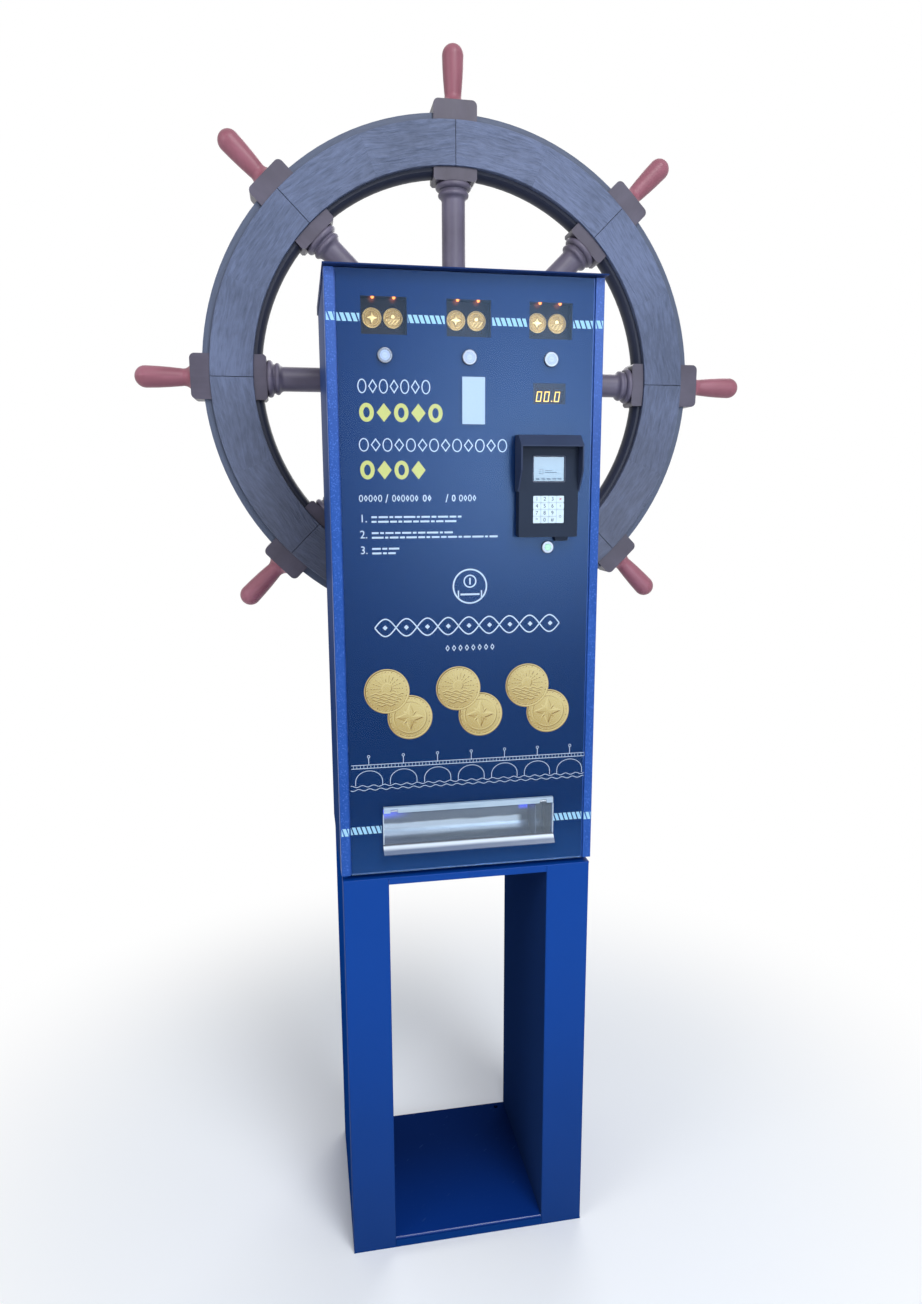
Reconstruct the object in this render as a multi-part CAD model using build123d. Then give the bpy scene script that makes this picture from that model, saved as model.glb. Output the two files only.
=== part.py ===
from build123d import *
import math
import os

# Souvenir medal vending machine on a portal stand, with a ship's wheel behind the cabinet.
# Millimetres. +Z is up, -Y is the front, +X is to the right of someone facing the machine.
# The origin is the middle of the stand's underside, on the floor.

# Stand
stand_width = 446.0
stand_depth = 335.0
stand_height = 755.0
stand_sheet = 2.0
column_width = 80.0
column_edge_radius = 2.5
lintel_drop = 13.0
foot_plate = 3.0
apron_height = 15.0
floor_height = 20.0
floor_edge_radius = 3.0
anchor_hole = 9.0
anchor_inset_x = 20.0
anchor_inset_y = 13.0
cable_hole = 30.0
cable_offset_y = 60.0

# Cabinet
cabinet_width = 450.0
cabinet_sheet = 2.0
door_gap = 10.0
door_height = 992.0
door_depth = 28.0
door_proud = 1.0
seal_room = 7.0
roof_gap = 1.5
roof_sheet_thickness = 2.5
roof_overhang = 12.5
roof_skirt = 12.0
left_flange = 26.0
right_flange = 18.0
sill_flange = 27.0
header_flange = 20.0
rear_flange = 20.0
vent_slot_length = 60.0
vent_slot_width = 5.0
vent_slot_pitch = 14.0
vent_slot_count = 6
vent_height_above_floor = 60.0

# Door
door_sheet = 1.5
stile_width = 15.0
stile_edge_radius = 2.0
glass_thickness = 4.0
film_thickness = 0.8
glass_side_gap = 2.5
glass_end_gap = 0.5
door_rear_flange = 29.0
door_rear_rail = 18.0
pivot_inset_x = 8.0
pivot_inset_y = 6.0
pivot_pin_diameter = 8.0
pivot_fit = 0.05
pivot_block = 14.0
pivot_block_height = 10.0
pivot_collar = 12.0
seal_width = 8.0
seal_inset_left = 16.5
seal_inset_right = 8.0
seal_inset_bottom = 7.0
seal_inset_top = 7.0
rest_clearance = 0.3

# Lock on the right side of the cabinet
lock_rise = 505.0
lock_setback = 32.0
lock_barrel_diameter = 19.0
lock_face_diameter = 23.0
lock_face_height = 2.0
lock_plug_diameter = 12.0
lock_fit = 0.08
lock_hole_clearance = 0.1
keeper_inset = 8.0
keeper_sheet = 1.5
keeper_base = 9.0
keeper_height = 24.0
keeper_pin_diameter = 6.0
keeper_pin_length = 6.5
hook_thickness = 3.0
hook_width = 10.0
hook_clearance = 0.6
hook_tip = 4.0
hook_gap = 2.0
lock_swing = 40.0

# Display windows, push buttons and price display
column_count = 3
column_pitch = 135.0
column_centre = 1.5
window_width = 72.0
window_height = 56.5
window_rise = 934.3
box_wall = 2.0
box_margin = 0.8
box_depth = 26.0
medal_diameter = 31.0
medal_thickness = 2.6
medal_spacing = 33.5
medal_rim_width = 1.6
medal_field_depth = 0.35
medal_rise = 0.3
button_rise = 874.3
bezel_diameter = 24.5
bezel_height = 3.0
barrel_diameter = 19.0
button_diameter = 16.0
button_fit = 0.1
button_length = 12.0
button_proud = 0.3
button_travel = 1.8
button_body_length = 22.0
button_nut_across = 24.0
button_nut_height = 4.0
status_x = 134.8
status_rise = 572.2
status_bezel_diameter = 21.5
status_button_diameter = 11.0
status_barrel_diameter = 16.0
price_x = 135.5
price_rise = 821.3
price_width = 55.0
price_height = 33.0
price_case_margin = 4.0
price_case_depth = 18.0

# Small round lamps, over the medals and in the delivery tray
lamp_diameter = 5.0
lamp_flange_diameter = 5.9
lamp_flange_height = 1.0
lamp_reach = 5.5
lamp_fit = 0.1
lamp_setback = 5.2
tray_lamp_setback = 12.0
tray_lamp_drop = 14.5

# Card terminal
terminal_x = 130.0
terminal_rise = 671.0
terminal_width = 100.0
terminal_height = 162.0
terminal_depth = 20.0
terminal_corner = 3.0
terminal_plug_width = 60.0
terminal_plug_height = 90.0
screen_z_offset = 29.4
screen_width = 51.0
screen_height = 38.5
screen_recess = 1.2
screen_thickness = 2.0
keypad_z_offset = -35.9
key_pitch_x = 13.3
key_pitch_z = 11.3
key_gap = 0.9
key_thickness = 4.0
key_travel = 1.0
key_proud = 0.5
key_corner = 1.5
key_side_fit = 0.45
slot_lip_width = 22.0
slot_lip_height = 7.0
slot_lip_depth = 10.0
slot_lip_offset = 26.0
hood_wall = 2.4
hood_reach = 22.0
hood_slope_drop = 16.5
hood_front_height = 40.0
hood_taper = 34.0
hood_corner = 8.0

# Delivery hatch
hatch_width = 301.0
hatch_rise = 131.5
hatch_height = 78.0
rail_height = 10.0
rail_depth = 7.0
hatch_pin_diameter = 3.0
hatch_pin_fit = 0.08
knuckle_length = 12.0
knuckle_wall = 1.5
cover_overhang = 1.5
cover_thickness = 3.0
cover_drop = 76.5
cover_lip_reach = 13.0
cover_rail_gap = 0.6
tray_sheet = 1.2
tray_depth = 52.0
tray_bottom_radius = 24.0
tray_rear_height = 95.0
divider_inset = 28.5
divider_drop = 6.0

# Dispensing mechanism
eject_floor_rise = 345.0
magazine_y = -60.0
magazine_bore = 32.4
magazine_wall = 2.0
magazine_height = 420.0
magazine_slot = 12.0
channel_sheet = 2.0
channel_wall_height = 26.0
channel_clearance = 0.4
slide_thickness = 2.4
slide_lift = 0.3
slide_travel = 33.0
slide_lug_height = 18.0
slide_lug_thickness = 6.0
slide_lug_gap = 2.0
rod_diameter = 8.0
rod_fit = 0.1
rod_length = 92.0
actuator_length = 74.0
actuator_width = 30.0
actuator_height = 24.0
actuator_start = 62.0
chute_sheet = 1.5
chute_top_half = 165.0
chute_bottom_rise = 159.0
chute_front_y = -118.0
chute_wall = 16.0
control_width = 190.0
control_height = 240.0
control_depth = 66.0
control_rise = 435.0
control_lid = 6.0
control_lip = 3.0

# Fixing bolts
bolt_across_flats = 17.0
bolt_head_height = 6.4
bolt_shank_diameter = 10.0
bolt_shank_length = 10.0
bolt_hole_clearance = 0.1
stand_bolt_inset_x = 35.0
stand_bolt_inset_y = 55.0

# Ship's wheel
wheel_x = 44.0
wheel_rise = 880.0
wheel_gap = 19.0
spoke_count = 8
face_outer_radius = 475.0
face_width = 81.0
face_thickness = 12.0
face_edge_radius = 2.0
board_seam = 1.0
board_fine_seam = 0.4
boards_per_bay = 2
core_outer_step = 14.0
core_inner_step = 16.0
core_thickness = 36.0
core_nose_depth = 10.0
core_outer_round = 6.0
spoke_block_width = 84.0
spoke_block_depth = 50.0
inner_block_height = 25.0
outer_block_height = 36.0
outer_block_corner = 10.0
inner_block_chamfer = 4.0
tenon_width = 40.0
joint_clearance = 0.15
shaft_diameter = 46.0
bead_diameter = 60.0
collar_diameter = 70.0
handle_length = 104.0
handle_base_diameter = 50.0
handle_neck_diameter = 33.0
handle_bulb_diameter = 41.0
hub_diameter = 190.0
hub_boss_diameter = 120.0
hub_boss_height = 16.0
hub_socket_depth = 15.0
axle_diameter = 30.0
axle_fit = 0.05
axle_flange_diameter = 150.0
axle_flange_thickness = 8.0
axle_bolt_circle = 120.0
axle_bolt_count = 4
axle_nut_across = 46.0
axle_nut_height = 16.0

# Heights over the floor, from the rises over the top of the stand
lock_height = stand_height + lock_rise
window_centre_z = stand_height + window_rise
button_z = stand_height + button_rise
status_z = stand_height + status_rise
price_z = stand_height + price_rise
terminal_z = stand_height + terminal_rise
hatch_top = stand_height + hatch_rise
eject_floor_z = stand_height + eject_floor_rise
chute_bottom_z = stand_height + chute_bottom_rise
control_bottom = stand_height + control_rise
wheel_z = stand_height + wheel_rise

# Levels and planes worked out from the sizes above
cover_width = hatch_width + 2 * cover_overhang
tray_end_x = hatch_width / 2 - divider_inset
stand_front = -stand_depth / 2
stand_back = stand_depth / 2
stand_half = stand_width / 2
portal_half = stand_half - column_width
door_front = stand_front - door_proud
door_back = door_front + door_depth
door_bottom = stand_height + door_gap
door_top = door_bottom + door_height
cabinet_half = cabinet_width / 2
cabinet_front = door_back + seal_room
cabinet_inner = cabinet_half - cabinet_sheet
roof_under = door_top + roof_gap
roof_top = roof_under + roof_sheet_thickness
film_front = door_front + glass_thickness
web_front = film_front + film_thickness
web_back = web_front + door_sheet
pivot_x = -cabinet_half + pivot_inset_x
pivot_y = door_back - pivot_inset_y
columns_x = [column_centre + (i - (column_count - 1) / 2) * column_pitch for i in range(column_count)]
face_inner_radius = face_outer_radius - face_width
core_outer_radius = face_outer_radius + core_outer_step
core_inner_radius = face_inner_radius - core_inner_step
wheel_front = stand_back + wheel_gap
wheel_y = wheel_front + face_thickness + core_thickness / 2
terminal_front = door_front - terminal_depth
lock_y = cabinet_front + lock_setback
lock_x = cabinet_half


def block(x0, x1, y0, y1, z0, z1):
    """Box between two opposite corners."""
    centre = Pos((x0 + x1) / 2, (y0 + y1) / 2, (z0 + z1) / 2)
    return centre * Box(x1 - x0, y1 - y0, z1 - z0)


def rod_x(y, z, diameter, x0, x1):
    """Round bar along X."""
    return Pos((x0 + x1) / 2, y, z) * Rot(0, 90, 0) * Cylinder(diameter / 2, x1 - x0)


def rod_y(x, z, diameter, y0, y1):
    """Round bar along Y."""
    return Pos(x, (y0 + y1) / 2, z) * Rot(90, 0, 0) * Cylinder(diameter / 2, y1 - y0)


def rod_z(x, y, diameter, z0, z1):
    """Round bar along Z."""
    return Pos(x, y, (z0 + z1) / 2) * Cylinder(diameter / 2, z1 - z0)


def hex_prism(across_flats, height):
    """Hexagonal bar standing on the XY plane."""
    return extrude(RegularPolygon(across_flats / 2, 6, major_radius=False), height)


def save(name, *solids):
    """Write one sub-part, as one solid or as a group of separate solids."""
    shape = solids[0] if len(solids) == 1 else Compound(children=list(solids))
    export_step(shape, os.path.join("parts", name + ".step"))


# Stand: foot with the floor tray, two hollow columns, and the top pan with the door's lower pin
def anchor_points():
    """Places of the two floor anchor holes, near the back of the floor tray."""
    x = portal_half - anchor_inset_x
    y = stand_back - anchor_inset_y
    return [(-x, y), (x, y)]


def cable_point():
    """Place of the cable hole, up through the right column."""
    return stand_half - column_width / 2, cable_offset_y


def base_tray():
    plate = block(-stand_half, stand_half, stand_front, stand_back, 0, foot_plate)
    tray_front = stand_front + stand_sheet
    tray = block(-portal_half, portal_half, tray_front, stand_back, foot_plate, floor_height)
    lip = tray.edges().filter_by(Axis.X).group_by(Axis.Z)[-1].sort_by(Axis.Y)[0]
    tray = fillet(lip, floor_edge_radius)
    hollow = block(
        -portal_half + stand_sheet, portal_half - stand_sheet,
        tray_front + stand_sheet, stand_back - stand_sheet,
        foot_plate, floor_height - stand_sheet,
    )
    apron = block(-portal_half, portal_half, stand_front, tray_front, foot_plate, apron_height)
    shape = plate + (tray - hollow) + apron
    for x, y in anchor_points():
        shape -= rod_z(x, y, anchor_hole, -1, floor_height + 1)
    x, y = cable_point()
    return shape - rod_z(x, y, cable_hole, -1, foot_plate + 1)


def column(side):
    """Folded box column, open at both ends; side is -1 for the left and 1 for the right."""
    low, high = foot_plate, stand_height - stand_sheet
    centre = Pos(side * (stand_half - column_width / 2), 0)
    outline = centre * RectangleRounded(column_width, stand_depth, column_edge_radius)
    inner_radius = max(column_edge_radius - stand_sheet, 0.3)
    bore = centre * RectangleRounded(
        column_width - 2 * stand_sheet, stand_depth - 2 * stand_sheet, inner_radius
    )
    return Pos(0, 0, low) * extrude(outline - bore, high - low)


def stand_bolt_points():
    """Places of the bolts that hold the cabinet down on the stand."""
    x = cabinet_half - stand_bolt_inset_x
    y = stand_depth / 2 - stand_bolt_inset_y
    return [(sx * x, sy * y) for sx in (-1, 1) for sy in (-1, 1)]


def stand_top():
    under = stand_height - stand_sheet
    plate = block(-stand_half, stand_half, stand_front, stand_back, under, stand_height)
    edges = plate.edges().filter_by(Axis.X).group_by(Axis.Z)[-1]
    plate = fillet(edges, stand_sheet * 0.9)
    lip_low = stand_height - lintel_drop
    front = block(-portal_half, portal_half, stand_front, stand_front + stand_sheet, lip_low, under)
    rear = block(-portal_half, portal_half, stand_back - stand_sheet, stand_back, lip_low, under)
    shape = plate + front + rear
    hole = bolt_shank_diameter + 2 * bolt_hole_clearance
    for x, y in stand_bolt_points():
        shape -= rod_z(x, y, hole, under - 1, stand_height + 1)
    x, y = cable_point()
    shape -= rod_z(x, y, cable_hole, under - 1, stand_height + 1)
    shoulder = door_bottom - rest_clearance
    pin_end = door_bottom + pivot_block_height - rest_clearance
    shape += rod_z(pivot_x, pivot_y, pivot_collar, stand_height, shoulder)
    return shape + rod_z(pivot_x, pivot_y, pivot_pin_diameter, shoulder, pin_end)


# Cabinet: folded sides, back, floor pan, and overhanging roof with the door's upper pin
def cabinet_side(side, flange):
    """Side sheet with an inward flange at the front and one at the rear."""
    wall = block(
        cabinet_inner, cabinet_half, cabinet_front, stand_back, stand_height, roof_under
    )
    front = block(
        cabinet_half - flange, cabinet_inner, cabinet_front, cabinet_front + cabinet_sheet,
        stand_height, roof_under,
    )
    rear_face = stand_back - cabinet_sheet
    rear = block(
        cabinet_half - rear_flange, cabinet_inner, rear_face - cabinet_sheet, rear_face,
        stand_height + cabinet_sheet, roof_under,
    )
    shape = wall + front + rear
    corner = shape.edges().filter_by(Axis.Z).sort_by(lambda e: (e.center().Y - e.center().X))[0]
    shape = fillet(corner, cabinet_sheet * 0.8)
    if side > 0:
        return shape
    return mirror(shape, Plane.YZ)


def cabinet_right_side():
    shape = cabinet_side(1, right_flange)
    hole = lock_barrel_diameter + 2 * lock_hole_clearance
    return shape - rod_x(lock_y, lock_height, hole, cabinet_inner - 1, cabinet_half + 1)


def axle_bolt_points():
    """Places of the bolts round the wheel's axle, in X and Z."""
    radius = axle_bolt_circle / 2
    angles = [math.pi / 4 + i * 2 * math.pi / axle_bolt_count for i in range(axle_bolt_count)]
    return [(wheel_x + radius * math.cos(a), wheel_z + radius * math.sin(a)) for a in angles]


def cabinet_back():
    face = stand_back - cabinet_sheet
    shape = block(
        -cabinet_inner, cabinet_inner, face, stand_back, stand_height + cabinet_sheet, roof_under
    )
    hole = bolt_shank_diameter + 2 * bolt_hole_clearance
    for x, z in axle_bolt_points():
        shape -= rod_y(x, z, hole, face - 1, stand_back + 1)
    slot = extrude(SlotOverall(vent_slot_length, vent_slot_width), cabinet_sheet + 2)
    first = stand_height + vent_height_above_floor
    for i in range(vent_slot_count):
        place = Pos(0, stand_back + 1, first + i * vent_slot_pitch) * Rot(90, 0, 0)
        shape -= place * slot
    return shape


def cabinet_floor():
    top = stand_height + cabinet_sheet
    plate = block(
        -cabinet_inner, cabinet_inner, cabinet_front + cabinet_sheet, stand_back, stand_height, top
    )
    sill = block(
        -cabinet_half + left_flange, cabinet_half - right_flange,
        cabinet_front, cabinet_front + cabinet_sheet, stand_height, stand_height + sill_flange,
    )
    shape = plate + sill
    hole = bolt_shank_diameter + 2 * bolt_hole_clearance
    for x, y in stand_bolt_points():
        shape -= rod_z(x, y, hole, stand_height - 1, top + 1)
    x, y = cable_point()
    return shape - rod_z(x, y, cable_hole, stand_height - 1, top + 1)


def roof_sheet():
    skirt = cabinet_half + cabinet_sheet
    rear = stand_back + cabinet_sheet
    top = block(-skirt, skirt, door_front - roof_overhang, rear, roof_under, roof_top)
    edges = top.edges().filter_by(Axis.X).group_by(Axis.Z)[-1]
    top = fillet(edges, roof_sheet_thickness * 0.5)
    low = roof_under - roof_skirt
    left = block(-skirt, -cabinet_half, cabinet_front, rear, low, roof_under)
    right = block(cabinet_half, skirt, cabinet_front, rear, low, roof_under)
    back = block(-cabinet_half, cabinet_half, stand_back, rear, low, roof_under)
    header = block(
        -cabinet_half + left_flange, cabinet_half - right_flange,
        cabinet_front, cabinet_front + cabinet_sheet, roof_under - header_flange, roof_under,
    )
    pin_end = door_top - pivot_block_height + rest_clearance
    pin = rod_z(pivot_x, pivot_y, pivot_pin_diameter, pin_end, roof_under)
    return top + left + right + back + header + pin


def door_seal():
    """Soft rubber frame on the cabinet's front flanges, just short of the closed door."""
    left = -cabinet_half + seal_inset_left
    right = cabinet_half - seal_inset_right
    low = door_bottom + seal_inset_bottom
    high = door_top - seal_inset_top
    front, back = door_back + rest_clearance, cabinet_front
    outer = block(left, right, front, back, low, high)
    inner = block(
        left + seal_width, right - seal_width, front - 1, back + 1,
        low + seal_width, high - seal_width,
    )
    return outer - inner


# Lock: barrel through the right side, with a hook that swings up in front of the keeper pin
def keeper_y():
    return cabinet_front + keeper_inset


def keeper_x():
    """Face of the keeper's tab that carries its pin."""
    return cabinet_half - door_rear_flange + keeper_sheet


def hook_x():
    """Inner face of the hook plate."""
    return keeper_x() + hook_gap


def lock_barrel():
    inner = hook_x() + hook_thickness + rest_clearance
    barrel = rod_x(lock_y, lock_height, lock_barrel_diameter, inner, lock_x)
    face = rod_x(lock_y, lock_height, lock_face_diameter, lock_x, lock_x + lock_face_height)
    face = fillet(face.edges().sort_by(Axis.X)[-1], lock_face_height * 0.6)
    bore = lock_plug_diameter + 2 * lock_fit
    return barrel + face - rod_x(lock_y, lock_height, bore, inner - 1, lock_x + lock_face_height + 1)


def lock_hook():
    """Plug with a key slot, and the hook plate on its inner end, swung down to unlocked."""
    plug_end = lock_x + lock_face_height
    inner = hook_x()
    pin_reach = lock_y - keeper_y()
    pin_half = keeper_pin_diameter / 2
    tip_near = pin_reach + pin_half + hook_clearance
    tip_far = tip_near + hook_tip
    arm_top = -pin_half - hook_clearance
    arm_low = arm_top - hook_width
    half = hook_width
    outline = Polyline(
        (half * 0.8, half), (half * 0.8, arm_low), (-tip_far, arm_low), (-tip_far, pin_half),
        (-tip_near, pin_half), (-tip_near, arm_top), (-half * 0.8, arm_top), (-half * 0.8, half),
        close=True,
    )
    plate = extrude(Plane.YZ * make_face(outline), hook_thickness)
    plate = Pos(inner, 0, 0) * plate
    plug = rod_x(0, 0, lock_plug_diameter, inner + hook_thickness, plug_end)
    slot = block(plug_end - 3, plug_end + 1, -0.6, 0.6, -3.5, 3.5)
    shape = plate + (plug - slot)
    return Pos(0, lock_y, lock_height) * Rot(lock_swing, 0, 0) * shape


# Door: folded steel shell, back-printed film and front glass
def window_opening(x, margin):
    """Block that cuts one medal window, this much larger all round."""
    return block(
        x - window_width / 2 - margin, x + window_width / 2 + margin, door_front - 5, web_back + 5,
        window_centre_z - window_height / 2 - margin, window_centre_z + window_height / 2 + margin,
    )


def hatch_opening(margin):
    low = hatch_top - rail_height / 2 - hatch_height
    return block(
        -hatch_width / 2 - margin, hatch_width / 2 + margin, door_front - 5, web_back + 5,
        low - margin, hatch_top - rail_height / 2 + margin,
    )


def price_opening(margin):
    return block(
        price_x - price_width / 2 - margin, price_x + price_width / 2 + margin,
        door_front - 5, web_back + 5,
        price_z - price_height / 2 - margin, price_z + price_height / 2 + margin,
    )


def terminal_opening(margin):
    return block(
        terminal_x - terminal_plug_width / 2 - margin, terminal_x + terminal_plug_width / 2 + margin,
        door_front - 5, web_back + 5,
        terminal_z - terminal_plug_height / 2 - margin, terminal_z + terminal_plug_height / 2 + margin,
    )


def button_places():
    """Push buttons as x, z, bezel, barrel and cap diameters."""
    rows = [(x, button_z, bezel_diameter, barrel_diameter, button_diameter) for x in columns_x]
    rows.append(
        (status_x, status_z, status_bezel_diameter, status_barrel_diameter, status_button_diameter)
    )
    return rows


def cut_panel(shape, windows, display):
    """Cut what passes through the front of the door."""
    shape -= hatch_opening(0)
    shape -= terminal_opening(0)
    for x, z, bezel, barrel, cap in button_places():
        shape -= rod_y(x, z, barrel + 2 * button_fit, door_front - 5, web_back + 5)
    if windows:
        for x in columns_x:
            shape -= window_opening(x, 0)
    if display:
        shape -= price_opening(0)
    return shape


def front_glass():
    half = cabinet_half - stile_width - glass_side_gap
    sheet = block(
        -half, half, door_front, film_front, door_bottom + glass_end_gap, door_top - glass_end_gap
    )
    sheet = cut_panel(sheet, False, False)
    return sheet


def print_film():
    half = cabinet_half - stile_width - glass_side_gap
    sheet = block(
        -half, half, film_front, web_front, door_bottom + glass_end_gap, door_top - glass_end_gap
    )
    return cut_panel(sheet, True, True)


def door_shell():
    t = door_sheet
    recess = cabinet_half - stile_width
    shape = block(-cabinet_half, cabinet_half, door_front, door_back, door_bottom, door_top)
    edges = shape.edges().filter_by(Axis.Z).group_by(Axis.Y)[0]
    shape = fillet(edges, stile_edge_radius)
    shape -= block(-recess, recess, door_front - 1, web_front, door_bottom - 1, door_top + 1)
    low, high = door_bottom + t, door_top - t
    shape -= block(-cabinet_half + t, cabinet_half - t, web_back, door_back - t, low, high)
    for side in (-1, 1):
        x0, x1 = sorted((side * (recess + t), side * (cabinet_half - t)))
        shape -= block(x0, x1, door_front + t, web_back, low, high)
    rear = cabinet_half - door_rear_flange
    shape -= block(
        -rear, rear, web_back, door_back + 1, door_bottom + door_rear_rail, door_top - door_rear_rail
    )
    shape = cut_panel(shape, True, True)
    half = pivot_block / 2
    left, right = -cabinet_half + t, pivot_x + half
    for z0, z1 in ((low, door_bottom + pivot_block_height), (door_top - pivot_block_height, high)):
        shape += block(left, right, pivot_y - half, door_back - t, z0, z1)
    pin_hole = pivot_pin_diameter + 2 * pivot_fit
    for z in (door_bottom, door_top):
        shape -= rod_z(pivot_x, pivot_y, pin_hole, z - pivot_block_height - 1, z + pivot_block_height + 1)
    return shape


def door_keeper():
    """Angle on the door's rear flange, with a tab into the cabinet and the pin the hook catches."""
    t = keeper_sheet
    face = keeper_x()
    low, high = lock_height - keeper_height / 2, lock_height + keeper_height / 2
    base = block(face - t, face - t + keeper_base, door_back, door_back + t, low, high)
    tab = block(face - t, face, door_back, keeper_y() + keeper_pin_diameter, low, high)
    pin = rod_x(keeper_y(), lock_height, keeper_pin_diameter, face, face + keeper_pin_length)
    return base + tab + pin


# Things carried by the door
def display_box(x):
    """Dark box behind one window, open towards the glass."""
    half_w = window_width / 2 + box_margin
    half_h = window_height / 2 + box_margin
    back = web_back + box_depth
    outer = block(
        x - half_w - box_wall, x + half_w + box_wall, web_back, back,
        window_centre_z - half_h - box_wall, window_centre_z + half_h + box_wall,
    )
    inner = block(
        x - half_w, x + half_w, web_back - 1, back - box_wall,
        window_centre_z - half_h, window_centre_z + half_h,
    )
    shape = outer - inner
    for lamp_x in window_lamp_places(x):
        hole = lamp_diameter + 2 * lamp_fit
        shape -= rod_z(lamp_x, web_back + lamp_setback, hole, box_top() - 2 * box_wall, box_top() + 1)
    return shape


def box_top():
    """Outer top of the display boxes."""
    return window_centre_z + window_height / 2 + box_margin + box_wall


def window_lamp_places(x):
    return [x - medal_spacing / 2, x + medal_spacing / 2]


def lamp():
    """Domed lamp along -Z, with its flange on the XY plane."""
    body = rod_z(0, 0, lamp_diameter, -lamp_reach, 0)
    body = fillet(body.edges().sort_by(Axis.Z)[0], lamp_diameter / 2 * 0.9)
    return body + rod_z(0, 0, lamp_flange_diameter, 0, lamp_flange_height)


def tray_lamp_places():
    """Tray lamps as the X of the sheet's outer face and the side they shine to."""
    return [(-hatch_width / 2 - tray_sheet, 1), (tray_end_x + tray_sheet, -1)]


def led_lamps():
    y = web_back + lamp_setback
    rows = [Pos(lx, y, box_top()) * lamp() for x in columns_x for lx in window_lamp_places(x)]
    y, z = web_back + tray_lamp_setback, hatch_top - tray_lamp_drop
    return rows + [Pos(x, y, z) * Rot(0, -90 * side, 0) * lamp() for x, side in tray_lamp_places()]


def display_medal(x):
    """Struck medal with a raised rim, flat on the back wall of its box."""
    back = web_back + box_depth - box_wall
    front = back - medal_thickness
    z = window_centre_z + medal_rise
    disc = rod_y(x, z, medal_diameter, front, back)
    field = medal_diameter - 2 * medal_rim_width
    return disc - rod_y(x, z, field, front - 1, front + medal_field_depth)


def display_medals():
    half = medal_spacing / 2
    return [display_medal(x + s * half) for x in columns_x for s in (-1, 1)]


def price_display():
    """Number display: a closed case behind the film, with its face in the cut-out."""
    case = block(
        price_x - price_width / 2 - price_case_margin, price_x + price_width / 2 + price_case_margin,
        web_back, web_back + price_case_depth,
        price_z - price_height / 2 - price_case_margin, price_z + price_height / 2 + price_case_margin,
    )
    fit = rest_clearance
    face = block(
        price_x - price_width / 2 + fit, price_x + price_width / 2 - fit, film_front, web_back,
        price_z - price_height / 2 + fit, price_z + price_height / 2 - fit,
    )
    return case + face


def button_housing(x, z, bezel, barrel, cap):
    """Steel bezel and threaded barrel in one, with its nut behind the sheet."""
    bore = cap + 2 * button_fit
    front = door_front - bezel_height
    rear = web_back + button_body_length
    ring = rod_y(x, z, bezel, front, door_front)
    ring = fillet(ring.edges().sort_by(Axis.Y)[0], bezel_height * 0.5)
    nut = Pos(x, web_back, z) * Rot(-90, 0, 0) * hex_prism(barrel + 5, button_nut_height)
    shape = ring + rod_y(x, z, barrel, door_front, rear) + nut
    depth = button_length + button_travel + rest_clearance - button_proud
    return shape - rod_y(x, z, bore, front - 1, front + depth)


def push_button(x, z, cap):
    """Plunger with a domed edge, a little proud of its bezel."""
    front = door_front - bezel_height - button_proud
    shape = rod_y(x, z, cap, front, front + button_length)
    return fillet(shape.edges().sort_by(Axis.Y)[0], 0.6)


def keypad_cells():
    """Keys as name, column, first row and number of rows, row 0 at the top."""
    names = [
        ["key_1", "key_2", "key_3"],
        ["key_4", "key_5", "key_6"],
        ["key_7", "key_8", "key_9"],
        ["key_star", "key_0", "key_hash"],
    ]
    cells = [(names[row][col], col, row, 1) for row in range(4) for col in range(3)]
    cells += [("key_cancel", 3, 0, 1), ("key_clear", 3, 1, 1), ("key_enter", 3, 2, 2)]
    return cells


def key_block(column, row, rows, y0, y1, gap):
    """Rounded block over one or more cells of the keypad."""
    width = key_pitch_x - gap
    height = rows * key_pitch_z - gap
    x = terminal_x + (column - 1.5) * key_pitch_x
    z = terminal_z + keypad_z_offset + (1.5 - row - (rows - 1) / 2) * key_pitch_z
    face = RectangleRounded(width, height, key_corner)
    return Pos(x, y1, z) * Rot(90, 0, 0) * extrude(face, y1 - y0)


def terminal_body():
    half_w, half_h = terminal_width / 2, terminal_height / 2
    low = terminal_z - half_h
    case = block(
        terminal_x - half_w, terminal_x + half_w, terminal_front, door_front, low, low + terminal_height
    )
    case = fillet(case.edges().filter_by(Axis.Y), terminal_corner)
    plug_fit = rest_clearance
    plug = block(
        terminal_x - terminal_plug_width / 2 + plug_fit, terminal_x + terminal_plug_width / 2 - plug_fit,
        door_front, web_back + 20,
        terminal_z - terminal_plug_height / 2 + plug_fit, terminal_z + terminal_plug_height / 2 - plug_fit,
    )
    lip_x = terminal_x + slot_lip_offset
    lip = block(
        lip_x - slot_lip_width / 2, lip_x + slot_lip_width / 2, door_front - slot_lip_depth, door_front,
        low - slot_lip_height, low,
    )
    shape = case + plug + lip
    screen = screen_box(rest_clearance, -1)
    half_x = 2 * key_pitch_x + key_side_fit - key_gap / 2
    half_z = 2 * key_pitch_z + key_side_fit - key_gap / 2
    keys_z = terminal_z + keypad_z_offset
    floor = terminal_front - key_proud + key_thickness + key_travel + rest_clearance
    pocket = block(
        terminal_x - half_x, terminal_x + half_x, terminal_front - 1, floor, keys_z - half_z, keys_z + half_z
    )
    return shape - screen - pocket


def screen_box(grow, front_step):
    """Screen glass in its recess, or the recess when grown and stepped forward."""
    z = terminal_z + screen_z_offset
    front = terminal_front + (screen_recess if front_step == 0 else front_step)
    return block(
        terminal_x - screen_width / 2 - grow, terminal_x + screen_width / 2 + grow,
        front, terminal_front + screen_recess + screen_thickness,
        z - screen_height / 2 - grow, z + screen_height / 2 + grow,
    )


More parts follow.
